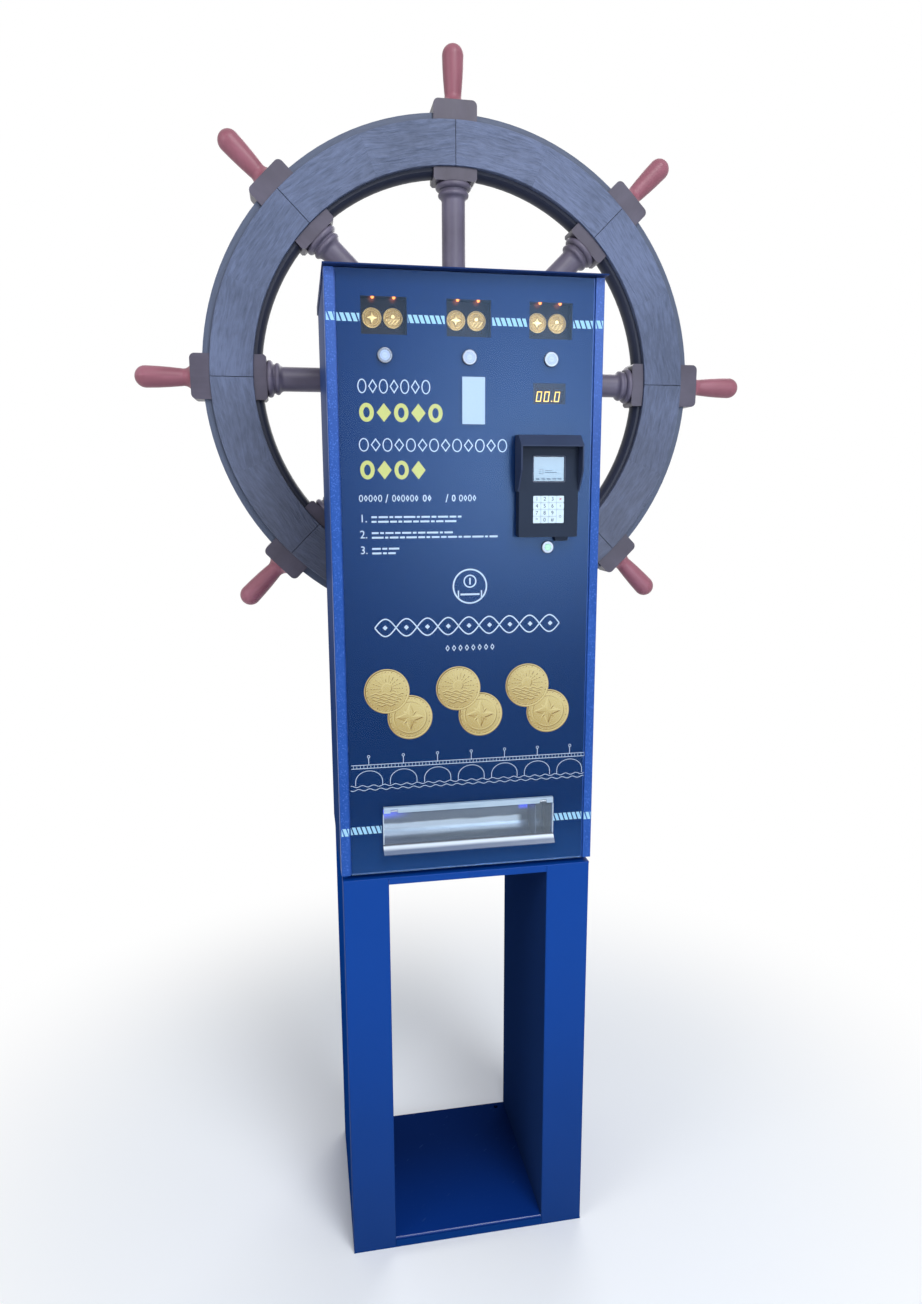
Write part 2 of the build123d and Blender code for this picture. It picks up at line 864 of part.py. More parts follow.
def hood_profile(inset):
    """Side outline of the visor, in Y and Z, drawn in by the wall where inset is above zero."""
    top = terminal_z + terminal_height / 2 + hood_wall - inset
    front = terminal_front - hood_reach
    slope_start = terminal_front - hood_wall
    shoulder = top - hood_slope_drop
    low = shoulder - hood_front_height
    points = [
        (door_front, top), (slope_start, top), (front, shoulder), (front, low),
        (terminal_front, low - hood_taper), (door_front, low - hood_taper),
    ]
    return make_face(Polyline(*points, close=True))


def terminal_hood():
    """Sloped visor that wraps the top and both sides of the terminal's upper half."""
    half = terminal_width / 2
    outer = extrude(Plane.YZ * hood_profile(0), 2 * (half + hood_wall))
    outer = Pos(terminal_x - half - hood_wall, 0, 0) * outer
    inner = Pos(terminal_x - half, 0, 0) * extrude(Plane.YZ * hood_profile(hood_wall), 2 * half)
    longest = inner.edges().filter_by(Axis.Y).group_by(Axis.Z)[-1]
    inner = fillet(longest, terminal_corner)
    front = terminal_front - hood_reach
    low = terminal_z - terminal_height
    reach = block(terminal_x - half, terminal_x + half, front - 1, door_front, low, terminal_z)
    top = terminal_z + terminal_height / 2 - hood_slope_drop
    mouth = block(terminal_x - half, terminal_x + half, front - 1, terminal_front, terminal_z - 1, top)
    mouth = fillet(mouth.edges().filter_by(Axis.Y).group_by(Axis.Z)[-1], hood_corner)
    return outer - inner - reach - mouth


# Delivery hatch: clear rail, hinged clear cover, and the bent tray behind it
def hatch_axis():
    """Pin axis in Y and Z, in the lower half of the rail."""
    y = door_front - rail_depth / 2
    z = hatch_top - rail_height + hatch_pin_diameter
    return y, z


def delivery_rail():
    """Clear bar along the top of the hatch, cut away at both ends for the cover's knuckles."""
    half = hatch_width / 2
    y, z = hatch_axis()
    bar = block(-half, half, door_front - rail_depth, door_front, hatch_top - rail_height, hatch_top)
    knuckle = hatch_pin_diameter / 2 + knuckle_wall + hatch_pin_fit + rest_clearance
    inner = half - 2 * knuckle_length
    for side in (-1, 1):
        x0, x1 = sorted((side * (inner - rest_clearance), side * (inner + knuckle_length + rest_clearance)))
        bar -= block(
            x0, x1, door_front - rail_depth - 1, door_front + 1, hatch_top - rail_height - 1, z + knuckle
        )
    return bar - rod_x(y, z, hatch_pin_diameter, -half - 1, half + 1)


def delivery_pin():
    y, z = hatch_axis()
    return rod_x(y, z, hatch_pin_diameter, -hatch_width / 2, hatch_width / 2)


def delivery_cover():
    """Hanging clear plate with its lower edge bent forward, on the pin by two knuckles."""
    half = cover_width / 2
    pin_y, pin_z = hatch_axis()
    top = -math.hypot(rail_depth / 2, hatch_pin_diameter) - cover_rail_gap
    t, reach = cover_thickness, cover_lip_reach
    bend = reach - cover_drop
    outline = make_face(Polyline(
        (-t / 2, top), (t / 2, top), (t / 2, bend), (t / 2 - reach, bend - reach),
        (t / 2 - reach - t * math.sqrt(0.5), bend - reach + t * math.sqrt(0.5)),
        (-t / 2, bend + t * (math.sqrt(2) - 1)), close=True,
    ))
    shape = Pos(-half, 0, 0) * extrude(Plane.YZ * outline, cover_width)
    knuckle = hatch_pin_diameter + 2 * (knuckle_wall + hatch_pin_fit)
    inner = hatch_width / 2 - 2 * knuckle_length
    for side in (-1, 1):
        x0, x1 = sorted((side * inner, side * (inner + knuckle_length)))
        shape += rod_x(0, 0, knuckle, x0, x1) + block(x0, x1, -t / 2, t / 2, top, 0)
    shape -= rod_x(0, 0, hatch_pin_diameter + 2 * hatch_pin_fit, -half - 1, half + 1)
    return Pos(0, pin_y, pin_z) * shape


def tray_profile():
    """Centre line of the bent tray sheet, in Y and Z, from its rear edge round to its front edge."""
    low = hatch_top - rail_height / 2 - hatch_height
    rear = web_back + tray_depth
    radius = tray_bottom_radius
    bottom = low - tray_sheet
    return [
        (rear, bottom + tray_rear_height), (rear, bottom), (web_back + tray_sheet, bottom),
        (web_back + tray_sheet, low + radius / 4),
    ], radius


def delivery_tray():
    """Trough bent from one sheet, with end plates, fixed behind the hatch."""
    points, radius = tray_profile()
    (rear, top), (_, bottom), (front, _), (_, lip) = points
    half = hatch_width / 2 + tray_sheet
    outer = make_face(Polyline((rear, top), (rear, bottom), (front, bottom), (front, top), close=True))
    solid = extrude(Plane.YZ * outer, 2 * half)
    solid = Pos(-half, 0, 0) * solid
    solid = fillet(solid.edges().filter_by(Axis.X).group_by(Axis.Z)[0].sort_by(Axis.Y)[-1], radius)
    t = tray_sheet
    room = extrude(
        Plane.YZ * make_face(Polyline(
            (rear - t, top + 1), (rear - t, bottom + t), (front - 1, bottom + t), (front - 1, top + 1),
            close=True,
        )), 2 * half - 2 * t,
    )
    room = Pos(-half + t, 0, 0) * room
    room = fillet(room.edges().filter_by(Axis.X).group_by(Axis.Z)[0].sort_by(Axis.Y)[-1], radius - t)
    trough = solid - room
    sill = block(-half, half, web_back, front, bottom, lip - radius / 4)
    divider = block(tray_end_x, tray_end_x + t, front, rear - t, bottom + t, top - divider_drop)
    shape = trough + sill + divider
    y, z = web_back + tray_lamp_setback, hatch_top - tray_lamp_drop
    for x, side in tray_lamp_places():
        shape -= rod_x(y, z, lamp_diameter + 2 * lamp_fit, x - 2 * t, x + 2 * t)
    return shape


# Dispensing mechanism inside the cabinet
def channel_half():
    return magazine_bore / 2 + magazine_wall + channel_sheet


def channel_front():
    return magazine_y - magazine_bore / 2 - magazine_wall


def medal_magazine(x):
    """Slotted tube on a folded channel that runs back to the cabinet's rear wall."""
    half = channel_half()
    front = channel_front()
    back = stand_back - cabinet_sheet
    floor = eject_floor_z
    t = channel_sheet
    outer = block(x - half, x + half, front, back, floor - t, floor + channel_wall_height)
    inner = block(x - half + t, x + half - t, front - 1, back - t, floor, floor + channel_wall_height + 1)
    channel = outer - inner
    tube_low = floor + slide_lift + slide_thickness + slide_lift
    bore = magazine_bore / 2
    ring = Circle(bore + magazine_wall) - Circle(bore)
    ring -= Pos(0, -bore) * Rectangle(magazine_slot, 2 * bore)
    tube = Pos(x, magazine_y, tube_low) * extrude(ring, magazine_height)
    return channel + tube


def ejector_slide(x):
    """Pusher plate with a lug and the actuator's rod, drawn back behind the lowest medal."""
    half = channel_half() - channel_sheet - channel_clearance
    front = magazine_y + medal_diameter / 2 + rest_clearance
    tube_back = magazine_y + magazine_bore / 2 + magazine_wall
    rear = tube_back + slide_lug_gap + slide_travel + slide_lug_thickness
    low = eject_floor_z + slide_lift
    plate = block(x - half, x + half, front, rear, low, low + slide_thickness)
    nose = rod_z(x, magazine_y, medal_diameter + 2 * rest_clearance, low - 1, low + slide_thickness + 1)
    lug = block(
        x - rod_diameter, x + rod_diameter, rear - slide_lug_thickness, rear, low, low + slide_lug_height
    )
    rod = rod_y(x, rod_centre_z(), rod_diameter, rear, rear + rod_length)
    return plate - nose + lug + rod


def rod_centre_z():
    return eject_floor_z + slide_lift + slide_lug_height - rod_diameter / 2 - 1


def ejector_actuator(x):
    """Small linear actuator lying in the channel."""
    start = magazine_y + actuator_start + slide_travel
    case = block(
        x - actuator_width / 2, x + actuator_width / 2, start, start + actuator_length,
        eject_floor_z, eject_floor_z + actuator_height,
    )
    case = fillet(case.edges().filter_by(Axis.Y).group_by(Axis.Z)[-1], 3)
    bore = rod_diameter + 2 * rod_fit
    return case - rod_y(x, rod_centre_z(), bore, start - 1, start + actuator_length - 4)


def chute_outline(near, far):
    """Side outline of the chute between two distances off its sloping underside, in Y and Z."""
    top_y = channel_front() + channel_half()
    top_z = eject_floor_z - channel_sheet - chute_sheet
    run, drop = top_y - chute_front_y, top_z - chute_bottom_z
    length = math.hypot(run, drop)
    step_y, step_z = -drop / length, run / length
    return make_face(Polyline(
        (top_y + near * step_y, top_z + near * step_z),
        (chute_front_y + near * step_y, chute_bottom_z + near * step_z),
        (chute_front_y + far * step_y, chute_bottom_z + far * step_z),
        (top_y + far * step_y, top_z + far * step_z),
        close=True,
    ))


def chute_plan(inset):
    """Tapered front outline of the chute, as a prism right through it."""
    low_left = -hatch_width / 2 + tray_sheet
    low_right = tray_end_x - tray_sheet
    top = eject_floor_z
    face = make_face(Polyline(
        (-chute_top_half + inset, top), (chute_top_half - inset, top),
        (low_right - inset, chute_bottom_z), (low_right - inset, chute_bottom_z - chute_wall),
        (low_left + inset, chute_bottom_z - chute_wall), (low_left + inset, chute_bottom_z),
        close=True,
    ))
    return extrude(Plane.XZ * face, stand_depth, both=True)


def medal_chute():
    """Sloping sheet with folded sides, from under the ejectors down to the tray."""
    full = 2 * chute_top_half
    t = chute_sheet
    slope = Pos(-chute_top_half, 0, 0) * extrude(Plane.YZ * chute_outline(0, t), full)
    sides = Pos(-chute_top_half, 0, 0) * extrude(Plane.YZ * chute_outline(0, chute_wall), full)
    shape = (slope & chute_plan(0)) + (sides & (chute_plan(0) - chute_plan(t)))
    top_y = channel_front() + channel_half()
    top_z = eject_floor_z - channel_sheet
    shape += block(
        -chute_top_half, chute_top_half, top_y - 2 * t, top_y + channel_half(), top_z - t, top_z
    )
    return shape - block(
        -full, full, -stand_depth, stand_depth, top_z, top_z + chute_wall
    )


def control_box():
    """Closed case for the power supply and control board, with a lid that overlaps its rim."""
    back = stand_back - cabinet_sheet
    front = back - control_depth
    half = control_width / 2
    top = control_bottom + control_height
    case = block(-half, half, front + control_lid, back, control_bottom, top)
    case = fillet(case.edges().filter_by(Axis.Y), 4)
    lid = block(
        -half - control_lip, half + control_lip, front, front + control_lid * 2,
        control_bottom - control_lip, top + control_lip,
    )
    lid = fillet(lid.edges().filter_by(Axis.Y), 5)
    return case + lid


# Bolts: four through the cabinet floor and four through its back into the axle flange
def hex_bolt():
    """Hex bolt with its head above the XY plane and its shank below."""
    head = hex_prism(bolt_across_flats, bolt_head_height)
    shank = rod_z(0, 0, bolt_shank_diameter, -bolt_shank_length, 0)
    return head + shank


def hex_bolts():
    inside = stand_back - cabinet_sheet
    rows = [Pos(x, y, stand_height + cabinet_sheet) * hex_bolt() for x, y in stand_bolt_points()]
    rows += [Pos(x, inside, z) * Rot(90, 0, 0) * hex_bolt() for x, z in axle_bolt_points()]
    return rows


# Ship's wheel, drawn about its own centre with its axis along Y
def wheel_place(shape):
    return Pos(wheel_x, wheel_y, wheel_z) * shape


def spoke_angles():
    return [i * 360 / spoke_count for i in range(spoke_count)]


def turn(shape, degrees):
    """Turn a piece about the wheel's axis, from +X towards +Z."""
    return Rot(0, -degrees, 0) * shape


def spoke():
    """One turned spoke along +X: shaft, rings, inner block, tenon through the rim, outer block."""
    shaft = shaft_diameter / 2
    block_low = face_inner_radius - inner_block_height
    start = hub_diameter / 2 - hub_socket_depth
    collar, bead = collar_diameter / 2, bead_diameter / 2
    ring_low = block_low - 12
    bead_low = ring_low - 13
    outline = Polyline((start, 0), (start, shaft), (bead_low - 8, shaft))
    outline += ThreePointArc(
        (bead_low - 8, shaft), (bead_low - 2.5, shaft + 1.5), (bead_low, shaft + 4)
    )
    outline += ThreePointArc((bead_low, shaft + 4), (bead_low + 5, bead), (bead_low + 10, shaft + 4))
    outline += Polyline((bead_low + 10, shaft + 4), (ring_low, shaft + 5))
    outline += ThreePointArc(
        (ring_low, shaft + 5), (ring_low + 6, collar), (block_low, collar - 3)
    )
    outline += Polyline((block_low, collar - 3), (block_low, 0), (start, 0))
    turned = revolve(make_face(outline), Axis.X)
    wide, deep = spoke_block_width / 2, spoke_block_depth / 2
    gap = joint_clearance
    inner = block(block_low, face_inner_radius, -deep, deep, -wide, wide)
    near = inner.edges().filter_by(Axis.Y).group_by(Axis.X)[0]
    inner = chamfer(near, inner_block_chamfer) & rim_disc(face_inner_radius - gap)
    top = face_outer_radius + outer_block_height
    tenon = block(
        block_low + 1, top - 1, -core_thickness / 2 + gap, core_thickness / 2 - gap,
        -tenon_width / 2, tenon_width / 2,
    )
    outer = block(face_inner_radius, top, -deep, deep, -wide, wide) - rim_disc(face_outer_radius + gap)
    outer = fillet(outer.edges().filter_by(Axis.Y).group_by(Axis.X)[-1], outer_block_corner)
    return turned + inner + tenon + outer


def rim_disc(radius):
    """Disc about the wheel's axis, deeper than the spokes' blocks."""
    return rod_y(0, 0, 2 * radius, -spoke_block_depth, spoke_block_depth)


def spoke_room():
    """Space that one spoke takes from the rim's core, with its clearance."""
    wide = spoke_block_width / 2 + joint_clearance
    deep = core_thickness
    tenon = tenon_width / 2 + joint_clearance
    far = 2 * core_outer_radius
    inner = block(0, face_inner_radius, -deep, deep, -wide, wide) & rim_disc(face_inner_radius)
    through = block(0, far, -deep, deep, -tenon, tenon)
    outer = block(face_inner_radius, far, -deep, deep, -wide, wide) - rim_disc(face_outer_radius)
    return inner + through + outer


def wheel_core():
    """Middle layer of the rim, with a rounded inner nose, in one curved length between spokes."""
    half = core_thickness / 2
    nose = core_inner_radius
    flat = core_inner_radius + core_nose_depth
    outer = core_outer_radius
    outline = Polyline((outer, -half), (flat, -half))
    outline += ThreePointArc((flat, -half), (nose, 0), (flat, half))
    outline += Polyline((flat, half), (outer, half), (outer, -half))
    bay = 360 / spoke_count
    ring = revolve(make_face(outline), Axis.Y, bay)
    ring = turn(ring, bay) if ring.center().Z < 0 else ring
    length = ring - spoke_room() - turn(spoke_room(), bay)
    return [wheel_place(turn(length, a)) for a in spoke_angles()]


def face_board(front):
    """One facing board of the rim, between a spoke's seam and the next finer seam."""
    half = core_thickness / 2
    y0, y1 = (-half - face_thickness, -half) if front else (half, half + face_thickness)
    sweep = 360 / spoke_count / boards_per_bay
    outline = make_face(Polyline(
        (face_inner_radius, y0), (face_outer_radius, y0), (face_outer_radius, y1),
        (face_inner_radius, y1), close=True,
    ))
    board = revolve(outline, Axis.Y, sweep)
    return turn(board, sweep) if board.center().Z < 0 else board


def wheel_felloes():
    sweep = 360 / spoke_count / boards_per_bay
    boards = []
    for front in (True, False):
        board = face_board(front)
        for i in range(spoke_count * boards_per_bay):
            coarse_start = i % boards_per_bay == 0
            coarse_end = (i + 1) % boards_per_bay == 0
            start_cut = (board_seam if coarse_start else board_fine_seam) / 2
            end_cut = (board_seam if coarse_end else board_fine_seam) / 2
            far = 2 * core_outer_radius
            slit = block(0, far, -far, far, -far, start_cut)
            end_slit = turn(block(0, far, -far, far, -end_cut, far), sweep)
            boards.append(wheel_place(turn(board - slit - end_slit, i * sweep)))
    return boards


def wheel_handle():
    """Turned grip along +X, seated on the outer block."""
    base = face_outer_radius + outer_block_height
    tip = base + handle_length
    neck, bulb, flare = handle_neck_diameter / 2, handle_bulb_diameter / 2, handle_base_diameter / 2
    swell = tip - bulb
    outline = Polyline((base, 0), (base, flare))
    outline += ThreePointArc((base, flare), (base + 5, neck + 2.5), (base + 18, neck))
    outline += ThreePointArc(
        (base + 18, neck), ((base + 18 + swell) / 2, (neck + bulb) / 2 + 0.8), (swell, bulb)
    )
    cap = math.sqrt(0.5) * bulb
    outline += ThreePointArc((swell, bulb), (swell + cap, cap), (tip, 0))
    outline += Polyline((tip, 0), (base, 0))
    return revolve(make_face(outline), Axis.X)


def wheel_hub():
    """Turned hub with a raised boss each side and a socket for every spoke."""
    reach = wheel_y - stand_back - axle_flange_thickness - rest_clearance
    shoulder = reach - hub_boss_height
    outer, boss = hub_diameter / 2, hub_boss_diameter / 2
    bore = axle_diameter / 2 + axle_fit
    outline = Polyline((bore, -reach), (boss, -reach))
    outline += ThreePointArc(
        (boss, -reach), (boss + hub_boss_height * 0.3, -reach + hub_boss_height * 0.7),
        (boss + hub_boss_height, -shoulder),
    )
    outline += Polyline(
        (boss + hub_boss_height, -shoulder), (outer, -shoulder), (outer, shoulder),
        (boss + hub_boss_height, shoulder),
    )
    outline += ThreePointArc(
        (boss + hub_boss_height, shoulder),
        (boss + hub_boss_height * 0.3, reach - hub_boss_height * 0.7), (boss, reach),
    )
    outline += Polyline((boss, reach), (bore, reach), (bore, -reach))
    hub = revolve(make_face(outline), Axis.Y)
    start = outer - hub_socket_depth - joint_clearance
    socket = rod_x(0, 0, shaft_diameter + 2 * joint_clearance, start, outer + 1)
    for a in spoke_angles():
        hub -= turn(socket, a)
    return wheel_place(hub)


def axle_end():
    """Y of the hub's rear face, where the retaining nut sits."""
    reach = wheel_y - stand_back - axle_flange_thickness - rest_clearance
    return wheel_y + reach


def wheel_axle():
    """Flanged stub axle on the cabinet's back, and the nut that keeps the hub on."""
    flange_end = stand_back + axle_flange_thickness
    flange = rod_y(wheel_x, wheel_z, axle_flange_diameter, stand_back, flange_end)
    hole = bolt_shank_diameter + 2 * bolt_hole_clearance
    for x, z in axle_bolt_points():
        flange -= rod_y(x, z, hole, stand_back - 1, flange_end + 1)
    nut_start = axle_end() + rest_clearance
    stub_end = nut_start + axle_nut_height + 4
    stub = rod_y(wheel_x, wheel_z, axle_diameter, flange_end, stub_end)
    nut = Pos(wheel_x, nut_start, wheel_z) * Rot(-90, 0, 0) * hex_prism(axle_nut_across, axle_nut_height)
    nut -= rod_y(wheel_x, wheel_z, axle_diameter, nut_start - 1, stub_end + 1)
    return flange + stub, nut


def build():
    os.makedirs("parts", exist_ok=True)
    save("base_tray", base_tray())
    save("stand_columns", column(-1), column(1))
    save("stand_top", stand_top())
    save("cabinet_left_side", cabinet_side(-1, left_flange))
    save("cabinet_right_side", cabinet_right_side())
    save("cabinet_back", cabinet_back())
    save("cabinet_floor", cabinet_floor())
    save("roof_sheet", roof_sheet())
    save("door_seal", door_seal())
    save("lock_barrel", lock_barrel())
    save("lock_hook", lock_hook())
    save("hex_bolts", *hex_bolts())
    save("door_shell", door_shell())
    save("door_keeper", door_keeper())
    save("print_film", print_film())
    save("front_glass", front_glass())
    save("display_boxes", *[display_box(x) for x in columns_x])
    save("display_medals", *display_medals())
    save("led_lamps", *led_lamps())
    save("price_display", price_display())
    save("button_housings", *[button_housing(*place) for place in button_places()])
    for i, (x, z, bezel, barrel, cap) in enumerate(button_places()):
        name = "status_button" if i == column_count else f"medal_button_{i + 1}"
        save(name, push_button(x, z, cap))
    save("terminal_body", terminal_body())
    save("terminal_hood", terminal_hood())
    save("terminal_screen", screen_box(0, 0))
    key_front = terminal_front - key_proud
    for name, col, row, rows in keypad_cells():
        save(name, key_block(col, row, rows, key_front, key_front + key_thickness, key_gap))
    save("delivery_rail", delivery_rail())
    save("delivery_cover", delivery_cover())
    save("delivery_pin", delivery_pin())
    save("delivery_tray", delivery_tray())
    save("medal_magazines", *[medal_magazine(x) for x in columns_x])
    for i, x in enumerate(columns_x):
        save(f"ejector_slide_{i + 1}", ejector_slide(x))
    save("ejector_actuators", *[ejector_actuator(x) for x in columns_x])
    save("medal_chute", medal_chute())
    save("control_box", control_box())
    save("wheel_core", *wheel_core())
    save("wheel_felloes", *wheel_felloes())
    save("wheel_spokes", *[wheel_place(turn(spoke(), a)) for a in spoke_angles()])
    save("wheel_handles", *[wheel_place(turn(wheel_handle(), a)) for a in spoke_angles()])
    save("wheel_hub", wheel_hub())
    save("wheel_axle", *wheel_axle())


build()
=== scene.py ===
import math

import bmesh
import bpy
import numpy as np
from mathutils import Matrix, Vector


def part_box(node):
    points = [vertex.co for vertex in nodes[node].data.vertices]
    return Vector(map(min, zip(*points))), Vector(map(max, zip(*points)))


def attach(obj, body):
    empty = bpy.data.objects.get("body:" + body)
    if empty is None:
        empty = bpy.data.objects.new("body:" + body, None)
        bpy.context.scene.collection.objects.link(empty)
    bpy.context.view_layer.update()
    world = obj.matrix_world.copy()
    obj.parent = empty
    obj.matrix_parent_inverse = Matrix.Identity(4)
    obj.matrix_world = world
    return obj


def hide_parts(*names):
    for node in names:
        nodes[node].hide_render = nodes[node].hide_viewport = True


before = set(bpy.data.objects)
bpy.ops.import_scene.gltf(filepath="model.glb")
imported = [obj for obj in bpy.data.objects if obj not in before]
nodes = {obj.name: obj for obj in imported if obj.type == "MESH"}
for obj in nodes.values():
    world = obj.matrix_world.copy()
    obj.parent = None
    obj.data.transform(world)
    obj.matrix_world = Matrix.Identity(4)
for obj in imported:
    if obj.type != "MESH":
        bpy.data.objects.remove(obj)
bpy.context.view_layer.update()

MM = 0.001
BACKGROUND_WHITE = 1.0
PORTAL_HALF = 0.143
MEDAL_SPREAD = 0.01675
COLUMNS = (-0.1335, 0.0015, 0.1365)

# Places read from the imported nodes, in metres
glass_lo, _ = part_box("front_glass")
film_lo, film_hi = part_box("print_film")
hub_lo, hub_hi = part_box("wheel_hub")
felloe_lo, felloe_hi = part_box("wheel_felloes")
core_lo, core_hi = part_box("wheel_core")
medal_lo, medal_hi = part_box("display_medals")
lamp_lo, lamp_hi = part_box("led_lamps")
price_lo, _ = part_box("price_display")
screen_lo, screen_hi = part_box("terminal_screen")
tray_lo, tray_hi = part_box("delivery_tray")
cover_lo, cover_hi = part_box("delivery_cover")
stand_lo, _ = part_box("stand_top")
wheel = (hub_lo + hub_hi) / 2
print_y = film_lo.y + 0.0002
ink_y = print_y - 0.00008


# Shader maths: operators between wires and numbers add Math nodes
class Wire:
    """One output of a node."""

    def __init__(self, finish, socket):
        self.finish, self.socket = finish, socket

    def math(self, operation, *others):
        values = dict(enumerate((self,) + others))
        return self.finish.node("ShaderNodeMath", {"operation": operation}, values)

    def __add__(self, other):
        return self.math("ADD", other)

    def __mul__(self, other):
        return self.math("MULTIPLY", other)

    def __sub__(self, other):
        return self.math("SUBTRACT", other)

    def __rsub__(self, other):
        return self * -1.0 + other

    def __truediv__(self, other):
        return self.math("DIVIDE", other)

    __radd__, __rmul__ = __add__, __mul__

    def fade(self, low, high):
        """Smooth step from 0 at low to 1 at high, or down again where low is the larger."""
        first, last = min(low, high), max(low, high)
        step = self.finish.node(
            "ShaderNodeMapRange", {"interpolation_type": "SMOOTHSTEP"},
            {"Value": self, "From Min": first, "From Max": last},
        )
        return step if low < high else 1 - step


class Graph:
    """Nodes of a material, a lamp or the world."""

    def __init__(self, owner):
        owner.use_nodes = True
        self.tree = owner.node_tree
        self.tree.nodes.clear()

    def plug(self, socket, value):
        """Link a wire to a socket, or set the socket to a number or a colour."""
        if isinstance(value, Wire):
            self.tree.links.new(value.socket, socket)
        elif isinstance(value, tuple):
            socket.default_value = value + (1.0,) * (len(socket.default_value) - len(value))
        else:
            socket.default_value = value

    def node(self, kind, settings=None, values=None, out=0):
        """Any node: its settings first, a ramp's stops among them, then its sockets."""
        made = self.tree.nodes.new(kind)
        for key, setting in (settings or {}).items():
            if key == "stops":
                band = made.color_ramp.elements
                while len(band) < len(setting):
                    band.new(0.5)
                for stop, (place, colour) in zip(band, setting):
                    stop.position, stop.color = place, colour + (1.0,)
            else:
                setattr(made, key, setting)
        for key, value in (values or {}).items():
            self.plug(made.inputs[key], value)
        return Wire(self, made.outputs[out]) if made.outputs else None

    def place(self):
        return self.node("ShaderNodeTexCoord", out="Object")

    def split(self, vector):
        """The three numbers of a vector."""
        first = self.node("ShaderNodeSeparateXYZ", None, {0: vector})
        return [Wire(self, out) for out in first.socket.node.outputs]

    def xyz(self):
        return self.split(self.place())

    def seen(self):
        """1 for camera, glossy and transmission rays, which see the white background."""
        path = self.node("ShaderNodeLightPath", out="Is Camera Ray")
        rays = path.socket.node.outputs
        for name in ("Is Glossy Ray", "Is Transmission Ray"):
            path = path.math("MAXIMUM", Wire(self, rays[name]))
        return path

    def join(self, x, y, z):
        return self.node("ShaderNodeCombineXYZ", None, {0: x, 1: y, 2: z})

    def noise(self, scale, detail=2.0, rough=0.5, at=None):
        values = {"Scale": scale, "Detail": detail, "Roughness": rough}
        return self.node("ShaderNodeTexNoise", None, {"Vector": at or self.place(), **values})

    def mix(self, factor, a, b):
        return self.node("ShaderNodeMix", {"data_type": "RGBA"}, {0: factor, 6: a, 7: b}, out=2)

    def ramp(self, value, *stops):
        return self.node("ShaderNodeValToRGB", {"stops": stops}, {0: value})


class Finish(Graph):
    """One material: a Principled shader whose sockets are set by name."""

    def __init__(self, name, **fixed):
        self.material = bpy.data.materials.new(name)
        super().__init__(self.material)
        surface = self.node("ShaderNodeBsdfPrincipled")
        self.node("ShaderNodeOutputMaterial", None, {0: surface})
        self.shader = surface.socket.node
        self.set(**fixed)

    def set(self, **values):
        for key, value in values.items():
            self.plug(self.shader.inputs[key.replace("_", " ")], value)
        return self

    def relief(self, height, depth):
        """Bump from a height of 0 to 1, its depth in metres."""
        values = {"Strength": 1.0, "Distance": depth, "Height": height}
        return self.set(Normal=self.node("ShaderNodeBump", None, values))


# Colours
BLACK, WHITE = (0.0, 0.0, 0.0), (1.0, 1.0, 1.0)


def linear(c):
    """Linear value of a screen value from 0 to 1."""
    return c / 12.92 if c <= 0.04045 else ((c + 0.055) / 1.055) ** 2.4


def tone(r, g, b, scale=1.0):
    """Linear colour from the 0 to 255 numbers of a screen colour."""
    return tuple(scale * linear(c / 255) for c in (r, g, b))


def shaded(colour, share):
    """A colour made darker or lighter by one factor."""
    return tuple(c * share for c in colour)


# Finishes of sheet metal, mouldings, glass and lamps. A pair in capitals is where a fade
# starts and where it ends, in metres
def powder_coat(name, low, high, rough, peel, grain, glint_share=0.0, level=0.25, sheen=()):
    """Powder coat: cloudy tone, orange peel, painted glints of light, and a sheen that grows
    upwards.
    """
    f = Finish(name, Specular_IOR_Level=level)
    cloud = f.noise(7.0, 4.0)
    fine = f.noise(grain, 1.0)
    tint = f.mix(cloud.fade(0.35, 0.65), low, high)
    if glint_share:
        # Painted highlight: small bright glints, as if the orange peel caught the light
        glint = f.noise(grain * 1.7, 0.0).fade(0.62, 0.74)
        tint = f.mix(glint * glint_share, tint, tuple(min(1.0, c * 2.0 + 0.06) for c in high))
    f.set(Base_Color=tint, Roughness=fine * 0.14 + (rough - 0.07))
    if sheen:
        weight, low_end, high_end = sheen
        f.set(Coat_Weight=f.xyz()[2].fade(low_end, high_end) * weight, Coat_Roughness=0.4)
    return f.relief(fine + f.noise(grain * 0.3, 1.0) * 0.7, peel)


LINES_ALONG, LINES_ACROSS = 14.0, 950.0


def brushed(name, colour, rough, along):
    """Rolled or brushed metal, its fine lines running along one axis."""
    f = Finish(name, Metallic=1.0)
    x, y, z = f.xyz()
    sx, sy, sz = [LINES_ALONG if axis == along else LINES_ACROSS for axis in "xyz"]
    lines = f.noise(1.0, 2.0, at=f.join(x * sx, y * sy, z * sz))
    cloud = f.noise(20.0, 3.0)
    f.set(Base_Color=f.mix(cloud * 0.6 + lines * 0.4, shaded(colour, 0.8), colour))
    f.set(Roughness=lines * 0.18 + (rough - 0.09))
    return f.relief(lines, 0.00004)


def moulding(name, colour, rough, grain=0.00006, level=0.4):
    """Moulded plastic with a fine spark-eroded grain and a little unevenness."""
    f = Finish(name, Specular_IOR_Level=level)
    fine, cloud = f.noise(1100.0), f.noise(28.0)
    f.set(Base_Color=f.mix(cloud, shaded(colour, 0.88), shaded(colour, 1.12)))
    f.set(Roughness=fine * 0.2 + (rough - 0.1))
    return f.relief(fine, grain)


def lit(name, colour, strength):
    """Lit lens or figure, a little uneven."""
    f = Finish(name, Emission_Strength=strength, Roughness=0.25)
    body = f.mix(f.noise(130.0, 1.0), shaded(colour, 0.85), colour)
    return f.set(Base_Color=body, Emission_Color=body)


def gloss(f, ior):
    """Fresnel gloss of the faces turned to the viewer; the faces behind them add none."""
    turned_away = f.node("ShaderNodeNewGeometry", out="Backfacing")
    return f.node("ShaderNodeFresnel", None, {"IOR": ior}) * (1 - turned_away)


